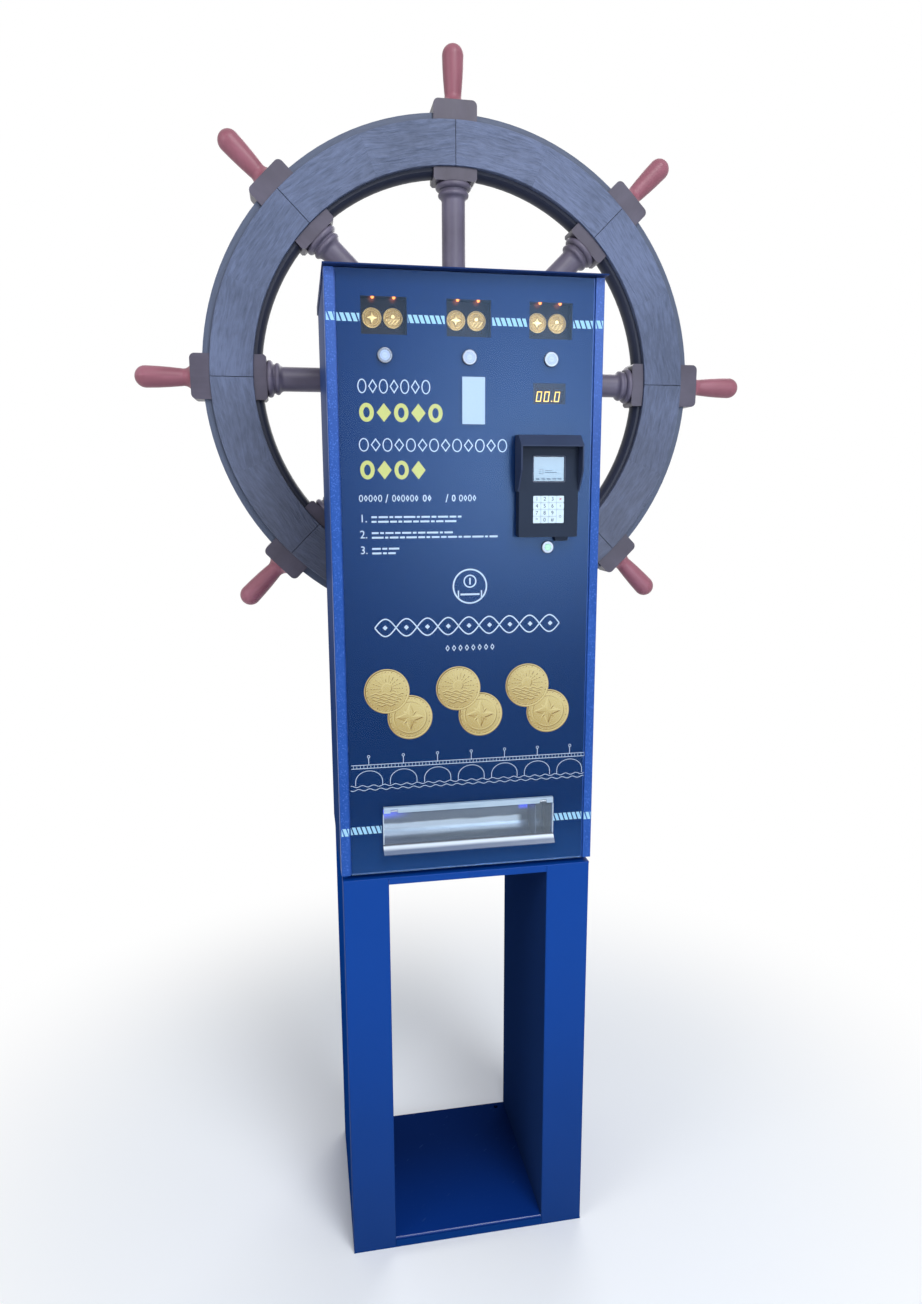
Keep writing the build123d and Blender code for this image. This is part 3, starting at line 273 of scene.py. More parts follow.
def ink(name, colour, rough=0.5):
    """Screen-printed ink, seen through the glass, so it has no gloss of its own."""
    f = Finish(name, Specular_IOR_Level=0.0, Roughness=rough)
    return f.set(Base_Color=f.mix(f.noise(320.0, 1.0), shaded(colour, 0.93), colour))


# Timber finishes, with the grain worked out from the angle round the wheel
BOARD_BAY, SPOKE_BAY = 22.5, 45.0
LOW_BOARD_SHADE = (wheel.z + 0.2, wheel.z - 0.45)
CORE_EDGE, BLOCK_START = (0.43, 0.45), (0.3655, 0.3665)


def wheel_polar(f, bay, offset):
    """Distances along and across the piece that a point is in, one piece each bay degrees."""
    x, y, z = f.xyz()
    x, z = x - wheel.x, z - wheel.z
    step = math.radians(bay)
    angle = f.node("ShaderNodeMath", {"operation": "ARCTAN2"}, {0: z, 1: x})
    index = (angle / step + offset).math("FLOOR")
    middle = (index + (0.5 - offset)) * step
    outward = x * middle.math("COSINE") + z * middle.math("SINE")
    sideways = z * middle.math("COSINE") - x * middle.math("SINE")
    return outward, sideways, y, index


def board_timber(name, low, mid, high, rough, depth):
    """Painted boards along the rim, each with its own straight raised grain, the lower boards
    darkened as painted shade.
    """
    f = Finish(name, Specular_IOR_Level=0.35)
    across, along, y, index = wheel_polar(f, BOARD_BAY, 0.0)
    own = index * 3.17
    sway = f.noise(1.0, 2.0, at=f.join(along * 6.0, across * 14.0, own))
    inward = across + y * 0.6
    at_lines = f.join(along * 26.0 + sway * 0.8, inward * 310.0 + sway * 10.0, own)
    at_dents = f.join(along * 44.0, inward * 130.0 + sway * 4.0, own + 7.0)
    lines, dents = f.noise(1.0, 4.0, 0.6, at_lines), f.noise(1.0, 3.0, 0.6, at_dents)
    patch = f.noise(7.0, 4.0)
    height = lines * 0.6 + dents * 0.5
    tint = f.ramp(height * 0.6 + patch * 0.4, (0.36, low), (0.5, mid), (0.64, high))
    # Painted shade: the boards turn darker and greyer towards the foot of the wheel
    low_shade = f.xyz()[2].fade(*LOW_BOARD_SHADE)
    f.set(Base_Color=f.mix(low_shade * 0.45, tint, tone(84, 83, 90)))
    f.set(Roughness=rough + (height - 0.55) * -0.25)
    return f.relief(height, depth)


def core_timber(name):
    """Middle layer of the rim: blue-grey outside the boards, smooth and nearly black inside."""
    f = Finish(name, Specular_IOR_Level=0.3, Roughness=0.45)
    across, along, y, _ = wheel_polar(f, BOARD_BAY, 0.0)
    x, _, z = f.xyz()
    x, z = x - wheel.x, z - wheel.z
    outer = (x * x + z * z).math("SQRT").fade(*CORE_EDGE)
    lines = f.noise(1.0, 4.0, 0.6, f.join(along * 18.0, across * 260.0, y * 260.0))
    outer_tint = f.mix(lines, tone(66, 74, 94), tone(92, 102, 126))
    inner_tint = f.mix(lines * 0.5, tone(38, 42, 58), tone(52, 56, 74))
    f.set(Base_Color=f.mix(outer, inner_tint, outer_tint))
    return f.relief(lines * outer, 0.0006)


def turned_timber(name, low, mid, high, rough, depth, blocks=0.0):
    """Painted turned pieces with a faint grain along their own spoke, the end blocks darker."""
    f = Finish(name, Specular_IOR_Level=0.35)
    along, across, y, index = wheel_polar(f, SPOKE_BAY, 0.5)
    own = index * 2.71
    lines = f.noise(1.0, 3.0, 0.6, f.join(along * 9.0, across * 160.0, y * 160.0 + own))
    cloud = f.noise(1.0, 3.0, 0.5, f.join(along * 12.0, across * 20.0, y * 20.0 + own))
    tint = f.ramp(lines * 0.15 + cloud * 0.85, (0.32, low), (0.5, mid), (0.68, high))
    f.set(Base_Color=f.mix(along.fade(*BLOCK_START) * blocks, tint, tone(20, 17, 28)))
    f.set(Roughness=rough + (lines - 0.5) * 0.2)
    return f.relief(lines * 0.6 + cloud * 0.4, depth)


# Stand and its floor tray
# Stand blues: the top's, and the foot's, which is darker as painted shade
STAND_TOP, STAND_FOOT_SHADE = tone(9, 62, 142), tone(13, 51, 112)
STAND_SHADE_RISE, STAND_FRONT = (0.0, 0.72), (stand_lo.y + 0.0675, stand_lo.y + 0.0015)
TRAY_SHADE_DEPTH, TRAY_RIM = (-0.17, 0.1), (0.0158, 0.0146)
TRAY_BEND_Y, TRAY_BEND_Z = (-0.1632, -0.1645), (0.0155, 0.0175)


def stand_finish(name, inside_half):
    """Satin blue coat with painted shade, deeper towards the foot and on the faces inside the
    portal.
    """
    f = powder_coat(name, STAND_TOP, STAND_TOP, 0.4, 0.00003, 900.0, level=0.0)
    x, y, z = f.xyz()
    cloud = f.noise(5.0, 4.0)
    # Painted shade: the blue darkens towards the foot, and more on the inner faces of the portal,
    # which also get no coat
    face = f.mix((z + cloud * 0.12).fade(*STAND_SHADE_RISE), STAND_FOOT_SHADE, STAND_TOP)
    inside = x.math("ABSOLUTE").fade(inside_half + 0.0004, inside_half + 0.0001)
    f.set(Base_Color=f.mix(inside, face, tone(29, 54, 103)), Coat_Roughness=0.3)
    return f.set(Coat_Weight=(1 - inside) * y.fade(*STAND_FRONT) * 0.2)


def tray_finish(name):
    """Floor tray of the stand: deep blue, with painted shade darker at the back, fine scratches and
    dust.
    """
    f = powder_coat(name, STAND_FOOT_SHADE, STAND_FOOT_SHADE, 0.36, 0.00003, 900.0, level=0.0)
    x, y, z = f.xyz()
    slanting = f.join(x * 30.0 + y * 22.0, y * 260.0 - x * 240.0, 0.0)
    scratch = f.noise(1.0, 0.0, at=slanting).fade(0.78, 0.84)
    dust = f.noise(240.0, 1.0).fade(0.7, 0.82)
    # Painted shade: the floor darkens towards the back
    floor_tone = f.mix(y.fade(*TRAY_SHADE_DEPTH), tone(12, 48, 120), tone(12, 34, 84))
    floor_tone = f.mix(scratch * 0.3 + dust * 0.12, floor_tone, tone(70, 100, 150))
    bend = y.fade(*TRAY_BEND_Y) * z.fade(*TRAY_BEND_Z)
    f.set(Base_Color=f.mix(z.fade(*TRAY_RIM), floor_tone, STAND_FOOT_SHADE), Coat_Roughness=0.2)
    return f.set(Coat_Weight=bend)


# Delivery hatch: its tray behind, and the clear rail and cover in front
TRAY_INNER_Y = (tray_hi.y - 0.0004, tray_hi.y - 0.0008)
TRAY_INNER_X = (tray_lo.x + 0.0004, tray_lo.x + 0.0008)
# Painted reflection band along the bend, and painted lamp light at the upper corners
GLARE_TOP, GLARE_FOOT, GLARE_END = (0.8385, 0.834), (0.81, 0.816), (0.112, 0.098)
GLARE_DIM, GLARE_GLOW = (0.83, 0.822), (0.818, 0.83)
LEFT_LIGHT_X, LEFT_LIGHT_Z = (-0.09, -0.15), (0.839, 0.852)
RIGHT_LIGHT_X, RIGHT_LIGHT_END, RIGHT_LIGHT_Z = (0.1, 0.108), (0.1215, 0.1195), (0.842, 0.85)
COVER_LIP = (cover_lo.z + 0.0142, cover_lo.z + 0.0128)
LIP_SHADE = (cover_lo.z + 0.0075, cover_lo.z + 0.0125)
LINE_FOOT = (cover_lo.z + 0.0135, cover_lo.z + 0.0142)
LINE_HEAD = (cover_lo.z + 0.0166, cover_lo.z + 0.0156)
COVER_SIDE = (cover_hi.x - 0.0025, cover_hi.x - 0.0012)


def hatch_steel(name):
    """Tray sheet with painted light: a bright painted reflection along its bend, and painted blue
    lamp light at its upper corners.
    """
    f = Finish(name, Metallic=0.55, Emission_Strength=1.0)
    x, y, z = f.xyz()
    lines = f.noise(1.0, 3.0, at=f.join(x * 11.0, y * 700.0, z * 700.0))
    wave = f.noise(1.0, 2.0, at=f.join(x * 22.0, y * 90.0, z * 120.0)) * 0.006
    height = z + wave
    inner = y.fade(*TRAY_INNER_Y) * x.fade(*TRAY_INNER_X)
    # Painted reflection: a bright band along the bend over the darker rear wall, dimmer at its
    # foot, with a faint painted glow
    band = height.fade(*GLARE_TOP) * height.fade(*GLARE_FOOT) * x.fade(*GLARE_END) * inner
    wall = f.mix(lines, tone(66, 80, 102), tone(98, 114, 138))
    bright = f.mix(lines, tone(190, 208, 226), tone(226, 240, 250))
    dim = f.mix(lines, tone(116, 132, 150), tone(142, 159, 178))
    face = f.mix(band, wall, f.mix(height.fade(*GLARE_DIM), bright, dim))
    # Painted light: blue glow of the tray lamps on the upper corners, given as emission
    left = x.fade(*LEFT_LIGHT_X) * z.fade(*LEFT_LIGHT_Z)
    right = x.fade(*RIGHT_LIGHT_X) * x.fade(*RIGHT_LIGHT_END) * z.fade(*RIGHT_LIGHT_Z)
    glow = f.mix((left + right) * inner, BLACK, tone(60, 80, 250))
    glow = f.mix(band * height.fade(*GLARE_GLOW) * 0.22, glow, tone(205, 228, 250))
    f.set(Base_Color=face, Emission_Color=glow, Roughness=lines * 0.2 + 0.22)
    return f.relief(lines, 0.00006)


def rail_acrylic(name):
    """Thick clear bar painted pale and streaky, a painted stand-in for the light it catches."""
    f = Finish(name, Roughness=0.16, Specular_IOR_Level=0.6)
    x, y, z = f.xyz()
    streak = f.noise(1.0, 3.0, at=f.join(x * 12.0, y * 300.0, z * 300.0))
    # Painted light: the pale tint stands in for the light that the clear bar catches
    f.set(Base_Color=f.mix(streak, tone(150, 172, 194), tone(186, 206, 224)))
    return f.set(Alpha=streak * 0.1 + 0.82)


def cover_acrylic(name):
    """Clear hanging plate with polished side edges and a bent lip under a dark line: a painted
    highlight along the lip's top, fading to painted shade at its foot.
    """
    f = Finish(name, Specular_IOR_Level=0.8)
    x, y, z = f.xyz()
    lip = z.fade(*COVER_LIP)
    side = x.math("ABSOLUTE").fade(*COVER_SIDE)
    line = z.fade(*LINE_FOOT) * z.fade(*LINE_HEAD)
    streak = f.noise(1.0, 3.0, at=f.join(x * 14.0, y * 60.0, z * 420.0))
    # Painted highlight on the lip, fading down into painted shade
    lip_shade_rise = (z + streak * 0.002).fade(*LIP_SHADE)
    lip_light_and_shade = f.mix(lip_shade_rise, tone(84, 101, 131), tone(208, 220, 233))
    face = f.mix(lip, f.mix(streak, tone(170, 188, 206), tone(206, 220, 234)), lip_light_and_shade)
    face = f.mix(line, face, tone(60, 62, 78))
    alpha = gloss(f, 1.45) * 0.9 + 0.05 + streak * 0.05 + lip * 0.82 + side * 0.5 + line * 0.5
    f.set(Base_Color=face, Roughness=streak * 0.12 + 0.08)
    return f.set(Alpha=alpha.math("MINIMUM", 1.0))


# Door glass, lit push buttons and window boxes
LOWER_EDGE_HIGHLIGHT = (0.0015, 0.0008)
RING_INNER, RING_OUTER = (0.0046, 0.0049), (0.0058, 0.0055)
DASH_SIDE, DASH_EDGE = (0.0026, 0.0023), (0.0006, 0.0004)
LAMP_GLOW_REACH = (0.008, 0.001)


def sheet_glass(name, tint, ior):
    """Clear pane: only its Fresnel gloss and a painted highlight along its lower edge show over the
    print.
    """
    f = Finish(name, Metallic=1.0, Base_Color=tint)
    smear = f.noise(6.0, 4.0)
    # Painted highlight: a pale line of stronger gloss along the lower edge
    edge_highlight = (f.xyz()[2] - glass_lo.z).fade(*LOWER_EDGE_HIGHLIGHT) * 0.25
    f.set(Roughness=smear * 0.06 + 0.24)
    return f.set(Alpha=(gloss(f, ior) + edge_highlight).math("MINIMUM", 1.0))


def cap_lens(name, x0, z0, colour, rim, strength):
    """Lit push button: a bright cap with a finer ring and a small engraved dash in it."""
    f = Finish(name, Emission_Strength=strength, Roughness=0.3)
    x, _, z = f.xyz()
    dx, dz = x - x0, z - z0
    r = (dx * dx + dz * dz).math("SQRT")
    ring = r.fade(*RING_INNER) * r.fade(*RING_OUTER)
    dash = dx.math("ABSOLUTE").fade(*DASH_SIDE) * dz.math("ABSOLUTE").fade(*DASH_EDGE)
    body = f.mix((r * 90.0).math("MINIMUM", 1.0), colour, rim)
    body = f.mix(ring * 0.4 + dash * 0.4, body, shaded(rim, 0.45))
    return f.set(Base_Color=body, Emission_Color=body)


def box_finish(name):
    """Dark brown window box with painted light: an orange glow, given as emission, round each of
    its two lamps.
    """
    f = Finish(name, Specular_IOR_Level=0.15, Roughness=0.6, Emission_Strength=1.0)
    x, _, z = f.xyz()
    ways = [(x - column).math("ABSOLUTE") for column in COLUMNS]
    near = ways[0].math("MINIMUM", ways[1]).math("MINIMUM", ways[2])
    side = near - MEDAL_SPREAD
    drop = z - lamp_hi.z
    reach = (side * side + drop * drop * 0.5).math("SQRT")
    # Painted light: warm lamp light on the box, given as emission
    glow = f.mix(reach.fade(*LAMP_GLOW_REACH), BLACK, tone(214, 104, 44, 0.35))
    cloud = f.noise(60.0, 3.0)
    f.set(Base_Color=f.mix(cloud, tone(20, 16, 18), tone(32, 26, 29)), Emission_Color=glow)
    return f.relief(cloud, 0.0002)


stand_paint = stand_finish("stand_paint", 0.0)
column_paint = stand_finish("column_paint", PORTAL_HALF)
tray_paint = tray_finish("tray_paint")
door_paint = powder_coat(
    "door_paint", tone(33, 73, 148), tone(38, 80, 157), 0.4, 0.0003, 330.0,
    glint_share=0.4, level=0.1, sheen=(0.6, 1.3, 1.8),
)
case_paint = powder_coat(
    "case_paint", tone(41, 66, 119), tone(45, 71, 124), 0.45, 0.0002, 330.0,
    glint_share=0.2, level=0.0, sheen=(0.4, 0.9, 1.8),
)
roof_paint = powder_coat(
    "roof_paint", tone(25, 45, 91), tone(28, 49, 96), 0.45, 0.0001, 500.0, glint_share=0.1, level=0.05,
)
control_grey = powder_coat(
    "control_grey", tone(150, 154, 160), tone(168, 172, 178), 0.45, 0.00008, 900.0,
)
board_wood = board_timber(
    "board_wood", tone(64, 74, 98), tone(84, 95, 123), tone(100, 112, 144), 0.5, 0.0026,
)
core_wood = core_timber("core_wood")
shaft_wood = turned_timber(
    "shaft_wood", tone(88, 82, 98), tone(98, 92, 110), tone(110, 104, 124), 0.4, 0.00005,
    blocks=0.42,
)
hub_wood = turned_timber(
    "hub_wood", tone(74, 69, 86), tone(83, 78, 97), tone(93, 88, 108), 0.4, 0.00008,
)
grip_wood = turned_timber(
    "grip_wood", tone(133, 79, 92), tone(144, 87, 101), tone(156, 98, 114), 0.4, 0.00002,
)
steel = brushed("steel", tone(190, 196, 205), 0.3, "x")
zinc = brushed("zinc", tone(170, 172, 176), 0.38, "z")
chute_sheet = brushed("chute_sheet", tone(132, 138, 147), 0.48, "x")
dark_steel = brushed("dark_steel", tone(120, 122, 126), 0.35, "y")
aluminium = brushed("aluminium", tone(205, 207, 210), 0.35, "y")
chrome = brushed("chrome", tone(214, 218, 226), 0.14, "x")
ring_chrome = brushed("ring_chrome", tone(110, 116, 128), 0.24, "z")
rubber = moulding("rubber", tone(26, 26, 28), 0.8)
black_case = moulding("black_case", tone(26, 26, 28), 0.5)
terminal_grey = moulding("terminal_grey", tone(32, 42, 60), 0.45, level=0.1)
# Painted light: the hood's grey is lighter than the body's, to make up for the shade on its sides
hood_grey = moulding("hood_grey", tone(48, 58, 83), 0.5, level=0.12)
box_dark = box_finish("box_dark")
key_white = moulding("key_white", tone(198, 216, 228), 0.4, 0.00002, 0.2)
display_black = moulding("display_black", tone(28, 16, 17), 0.4, 0.00001, 0.08)
tray_steel = hatch_steel("tray_steel")
panel_glass = sheet_glass("panel_glass", (0.42, 0.64, 1.0), 1.42)
rail_clear = rail_acrylic("rail_clear")
cover_clear = cover_acrylic("cover_clear")

FINISH = {
    "base_tray": tray_paint, "stand_columns": column_paint, "stand_top": stand_paint,
    "cabinet_left_side": case_paint, "cabinet_right_side": case_paint, "cabinet_back": case_paint,
    "cabinet_floor": case_paint, "roof_sheet": roof_paint, "door_seal": rubber,
    "lock_barrel": chrome, "lock_hook": steel, "hex_bolts": zinc, "door_shell": door_paint,
    "door_keeper": zinc, "front_glass": panel_glass, "display_boxes": box_dark,
    "price_display": display_black, "button_housings": ring_chrome,
    "terminal_body": terminal_grey, "terminal_hood": hood_grey, "delivery_rail": rail_clear,
    "delivery_cover": cover_clear, "delivery_pin": steel, "delivery_tray": tray_steel,
    "medal_magazines": zinc, "ejector_slide_1": aluminium, "ejector_slide_2": aluminium,
    "ejector_slide_3": aluminium, "ejector_actuators": black_case, "medal_chute": chute_sheet,
    "control_box": control_grey, "wheel_core": core_wood, "wheel_spokes": shaft_wood,
    "wheel_handles": grip_wood, "wheel_hub": hub_wood, "wheel_axle": dark_steel,
}
BUTTON_Z, STATUS_X, STATUS_Z = 1.6293, 0.1348, 1.3272
for i, x in enumerate(COLUMNS):
    FINISH[f"medal_button_{i + 1}"] = cap_lens(
        f"cap_{i + 1}", x, BUTTON_Z, tone(166, 184, 214), tone(144, 166, 204), 0.1
    )
FINISH["status_button"] = cap_lens(
    "cap_status", STATUS_X, STATUS_Z, tone(178, 226, 198), tone(112, 204, 150), 0.2
)
for name, item in nodes.items():
    item.data.materials.clear()
    item.data.materials.append(FINISH.get(name, key_white).material)


# Meshes: grids of points, computed as whole arrays
class Surface:
    """Gathers grids and outlines of points, in metres, into one mesh."""

    def __init__(self):
        self.points, self.faces, self.count = [], [], 0

    def add(self, points, faces):
        self.faces += (np.asarray(faces) + self.count).tolist()
        self.points.append(points.reshape(-1, 3))
        self.count += len(self.points[-1])

    def grid(self, points, wrap=False):
        """Quads between neighbours of a grid; wrap joins its last column to its first."""
        rows, cols = points.shape[:2]
        last = cols if wrap else cols - 1
        i, j = np.meshgrid(np.arange(rows - 1), np.arange(last), indexing="ij")
        k = (j + 1) % cols
        corners = [i * cols + j, i * cols + k, (i + 1) * cols + k, (i + 1) * cols + j]
        self.add(points, np.stack(corners, -1).reshape(-1, 4))

    def fan(self, points):
        """One flat face through the points."""
        self.add(points, [np.arange(len(points))])

    def make(self, name, finish, body, slot, smooth=False):
        """Object of all that was gathered, riding on a body, with its finish. The slot argument is
        not used.
        """
        mesh = bpy.data.meshes.new(name)
        mesh.from_pydata(np.concatenate(self.points).tolist(), [], self.faces)
        mesh.materials.append(finish.material)
        mesh.polygons.foreach_set("use_smooth", [smooth] * len(mesh.polygons))
        mesh.update()
        item = bpy.data.objects.new(name, mesh)
        bpy.context.scene.collection.objects.link(item)
        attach(item, body)
        return item


def merged(item):
    """Join the doubled points of a mesh and turn its faces outwards."""
    shell = bmesh.new()
    shell.from_mesh(item.data)
    bmesh.ops.remove_doubles(shell, verts=shell.verts, dist=0.00001)
    bmesh.ops.recalc_face_normals(shell, faces=shell.faces)
    shell.to_mesh(item.data)
    shell.free()
    return item


FIGURE_SHARE = 0.7


class Print(Surface):
    """Flat shapes on one plane facing the viewer, given as X and Z in millimetres."""

    def __init__(self, y):
        super().__init__()
        self.y = y

    def lay(self, flat):
        """Points on the plane from pairs of X and Z."""
        depth = np.full(flat.shape[:-1], self.y)
        return np.stack([flat[..., 0] * MM, depth, flat[..., 1] * MM], -1)

    def bar(self, x0, x1, z0, z1, lean=0.0):
        """Upright rectangle, or a leaning one whose top is moved sideways by lean."""
        flat = np.array([[[x0, z0], [x1, z0]], [[x0 + lean, z1], [x1 + lean, z1]]], float)
        self.grid(self.lay(flat))

    def stroke(self, path, width, closed=False):
        """Ribbon: every point of the path moved half the width to both sides, square to it."""
        path = np.asarray(path, float)
        if closed:
            step = np.roll(path, -1, 0) - np.roll(path, 1, 0)
        else:
            step = np.gradient(path, axis=0)
        side = np.stack([-step[:, 1], step[:, 0]], 1) / np.hypot(*step.T)[:, None] * width / 2
        self.grid(self.lay(np.stack([path - side, path + side])), wrap=closed)

    def ring(self, x, z, rx, rz, width, count=64):
        """Ellipse drawn as a closed ribbon."""
        t = np.linspace(0, 2 * math.pi, count, endpoint=False)
        run = [x + (rx - width / 2) * np.cos(t), z + (rz - width / 2) * np.sin(t)]
        self.stroke(np.stack(run, 1)[::-1], width, True)

    def lozenge(self, x, z, rx, rz, width=0.0):
        """Diamond, solid or as a frame between an outer and an inner diamond."""
        turn = np.array([[1, 0], [0, 1], [-1, 0], [0, -1]], float)
        outer = turn * (rx, rz) + (x, z)
        if not width:
            self.fan(self.lay(outer))
            return
        shrink = 1 - width * math.hypot(1 / rx, 1 / rz)
        inner = turn * (rx * shrink, rz * shrink) + (x, z)
        self.grid(self.lay(np.stack([outer, inner])), wrap=True)

    def figures(self, words, x, z, size, align="LEFT"):
        """Plain figures and signs, size millimetres high."""
        curve = bpy.data.curves.new("figure", "FONT")
        curve.body, curve.align_x, curve.align_y = words, align, "CENTER"
        holder = bpy.data.objects.new("figure", curve)
        mesh = bpy.data.meshes.new_from_object(holder)
        flat = np.zeros(len(mesh.vertices) * 3)
        mesh.vertices.foreach_get("co", flat)
        flat = flat.reshape(-1, 3)[:, :2] * (size / FIGURE_SHARE) + (x, z)
        start = self.count
        self.points.append(self.lay(flat))
        self.count += len(flat)
        self.faces += [[start + i for i in face.vertices] for face in mesh.polygons]
        bpy.data.objects.remove(holder)
        bpy.data.curves.remove(curve)
        bpy.data.meshes.remove(mesh)


# Navy print on the back of the glass, a hair behind it
FILM_LOW, FILM_HIGH = (0.95, 0.8), (0.95, 1.7)
film = Finish("print_navy", Specular_IOR_Level=0.0, Roughness=0.5)
height = film.xyz()[2] + film.noise(4.0, 3.0) * 0.1
navy = film.mix(height.fade(*FILM_LOW), tone(10, 40, 86), tone(24, 60, 112))
film.set(Base_Color=film.mix(height.fade(*FILM_HIGH), navy, tone(14, 45, 97)))
source = nodes["print_film"].data
corners = np.zeros(len(source.vertices) * 3)
source.vertices.foreach_get("co", corners)
sheet = Surface()
sheet.points.append(corners.reshape(-1, 3) + (0, print_y - film_lo.y, 0))
sheet.faces = [list(face.vertices) for face in source.polygons]
printed = merged(sheet.make("printed_film", film, "door", "print"))
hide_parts("print_film")

ink_pale = ink("ink_pale", tone(158, 203, 228))
ink_white = ink("ink_white", tone(190, 206, 222))
ink_yellow = ink("ink_yellow", tone(196, 199, 112))
paper = ink("paper", tone(178, 202, 232), 0.6)

# Rope bands: leaning bars between the windows and beside the hatch. Each band has its foot, its
# head, its pitch and the spans that it fills on the glass, and it goes on over both stiles
STRIPE_SHARE, STRIPE_LEAN, STRIPE_LEAST = 0.7, -4.6, 0.5
ROPE_BANDS = (
    (1679.2, 1691.6, 8.8, ((-207, -171.5), (-96, -37), (39, 97.3), (173.8, 207))),
    (837.8, 851.4, 8.2, ((-207, -153.5), (153.5, 207))),
)
STILE_SPANS = ((-223, -210), (210, 223))


def rope_band(shapes, a, b, z0, z1, pitch):
    """Leaning bars: a pair of points below and one above for each, cut at both ends."""
    first = math.floor(a / pitch) * pitch
    for x in np.arange(first - pitch, b, pitch):
        low = np.clip(np.array([x, x + pitch * STRIPE_SHARE]) - STRIPE_LEAN, a, b)
        high = np.clip(np.array([x, x + pitch * STRIPE_SHARE]), a, b)
        if high[1] - high[0] + low[1] - low[0] > STRIPE_LEAST:
            foot, head = np.stack([low, [z0, z0]], 1), np.stack([high, [z1, z1]], 1)
            shapes.grid(shapes.lay(np.stack([foot, head])))


rope, edge_rope = Print(ink_y), Print(glass_lo.y - 0.0001)
for z0, z1, pitch, spans in ROPE_BANDS:
    for shapes, ends in ((rope, spans), (edge_rope, STILE_SPANS)):
        for a, b in ends:
            rope_band(shapes, a, b, z0, z1, pitch)
rope.make("rope_bands", ink_pale, "door", "print")
edge_rope.make("stile_bands", ink_pale, "door", "print")

# Ornament rows: rings and lozenges by turns, as lines or, in yellow, bold with solid lozenges
white, gold = Print(ink_y), Print(ink_y)
SMALL_ROW, SLASH = (1403.5, 1414.5), (1402, 1415.5, 3.4)


def ornament(shapes, x0, x1, z0, z1, count, weight, solid=False):
    """Rings and lozenges by turns, evenly spaced between two ends."""
    pitch = (x1 - x0) / count
    rx, rz, z = pitch * 0.42, (z1 - z0) / 2, (z0 + z1) / 2
    for i in range(count):
        x = x0 + (i + 0.5) * pitch
        if i % 2 == 0:
            shapes.ring(x, z, rx, rz, weight)
        else:
            shapes.lozenge(x, z, rx, rz, 0.0 if solid else weight)


ornament(white, -178.5, -60, 1572, 1594, 7, 1.7)
ornament(gold, -177.5, -39.5, 1528.5, 1557.5, 5, 6.4, True)
ornament(white, -178.5, 66.5, 1482.5, 1503.5, 13, 1.7)
ornament(gold, -178, -68, 1439, 1468.5, 4, 6.2, True)
for x0, x1, count, weight in (
    (-179.5, -141, 5, 1.4), (-126, -82, 6, 1.4), (-76, -60.5, 2, 1.8), (-28, -20.5, 1, 1.8),
    (-16, 14, 4, 1.4),
):
    ornament(white, x0, x1, *SMALL_ROW, count, weight)
white.bar(-136.5, -134.9, *SLASH)
white.bar(-38, -36.4, *SLASH)

# Numbered rows of short uneven dashes: the middle height of each, and the ends of its two lines
DASHES = np.array([9, 15, 6, 12, 19, 5, 14, 8, 17, 11, 6, 13])
DASH_LEFT, DASH_GAP, DASH_HALF, DASH_LEAST = -159.5, 2.6, 1.5, 4
NUMBER_LEFT, NUMBER_SIZE = -179, 12.5
DASH_ROWS = ((1375.6, -9, -17), (1350.0, -20.7, 50.4), (1324.6, -110.6, -119))
for row, (z, upper_end, lower_end) in enumerate(DASH_ROWS):
    white.figures(f"{row + 1}.", NUMBER_LEFT, z + 0.6, NUMBER_SIZE)
    for line, (level, end) in enumerate(((z + 3.4, upper_end), (z - 4.0, lower_end))):
        widths = np.tile(np.roll(DASHES, row * 3 + line * 5), 2)
        starts = DASH_LEFT + np.concatenate([[0], np.cumsum(widths + DASH_GAP)[:-1]])
        for x, width in zip(starts, widths):
            if x + DASH_LEAST < end:
                white.bar(x, min(x + width, end), level - DASH_HALF, level + DASH_HALF)

# Sign of a coin above a slot in a ring
SIGN_X = 2.7
white.ring(SIGN_X, 1263.5, 29.5, 29.5, 2.6, 96)
white.ring(SIGN_X, 1272, 11, 11, 2.2)
white.bar(SIGN_X - 1.3, SIGN_X + 1.3, 1266.5, 1277.5)
white.bar(SIGN_X - 16.2, SIGN_X + 16.2, 1248.5, 1251.5)
white.stroke([(SIGN_X - 19.7, 1256.5), (SIGN_X - 19.7, 1243.5)], 2.2)
white.stroke([(SIGN_X + 19.7, 1243.5), (SIGN_X + 19.7, 1256.5)], 2.2)

# Two-strand plait with a lozenge in each loop, and a row of small lozenges under it
PLAIT_LEFT, PLAIT_RIGHT, PLAIT_Z, PLAIT_LOOPS = -158, 159, 1197.2, 9
run = np.linspace(PLAIT_LEFT, PLAIT_RIGHT, 360)
turns = (run - PLAIT_LEFT) / (PLAIT_RIGHT - PLAIT_LEFT) * PLAIT_LOOPS * math.pi
for phase in (0.0, math.pi):
    white.stroke(np.stack([run, PLAIT_Z + 14.5 * np.sin(turns + phase)], 1), 2.1)
for x in np.linspace(-140.9, 142.9, PLAIT_LOOPS):
    white.lozenge(x, PLAIT_Z, 4.2, 4.2)
for x in np.linspace(-36, 41.5, 8):
    white.lozenge(x, 1159.3, 3.6, 5.6, 1.3)

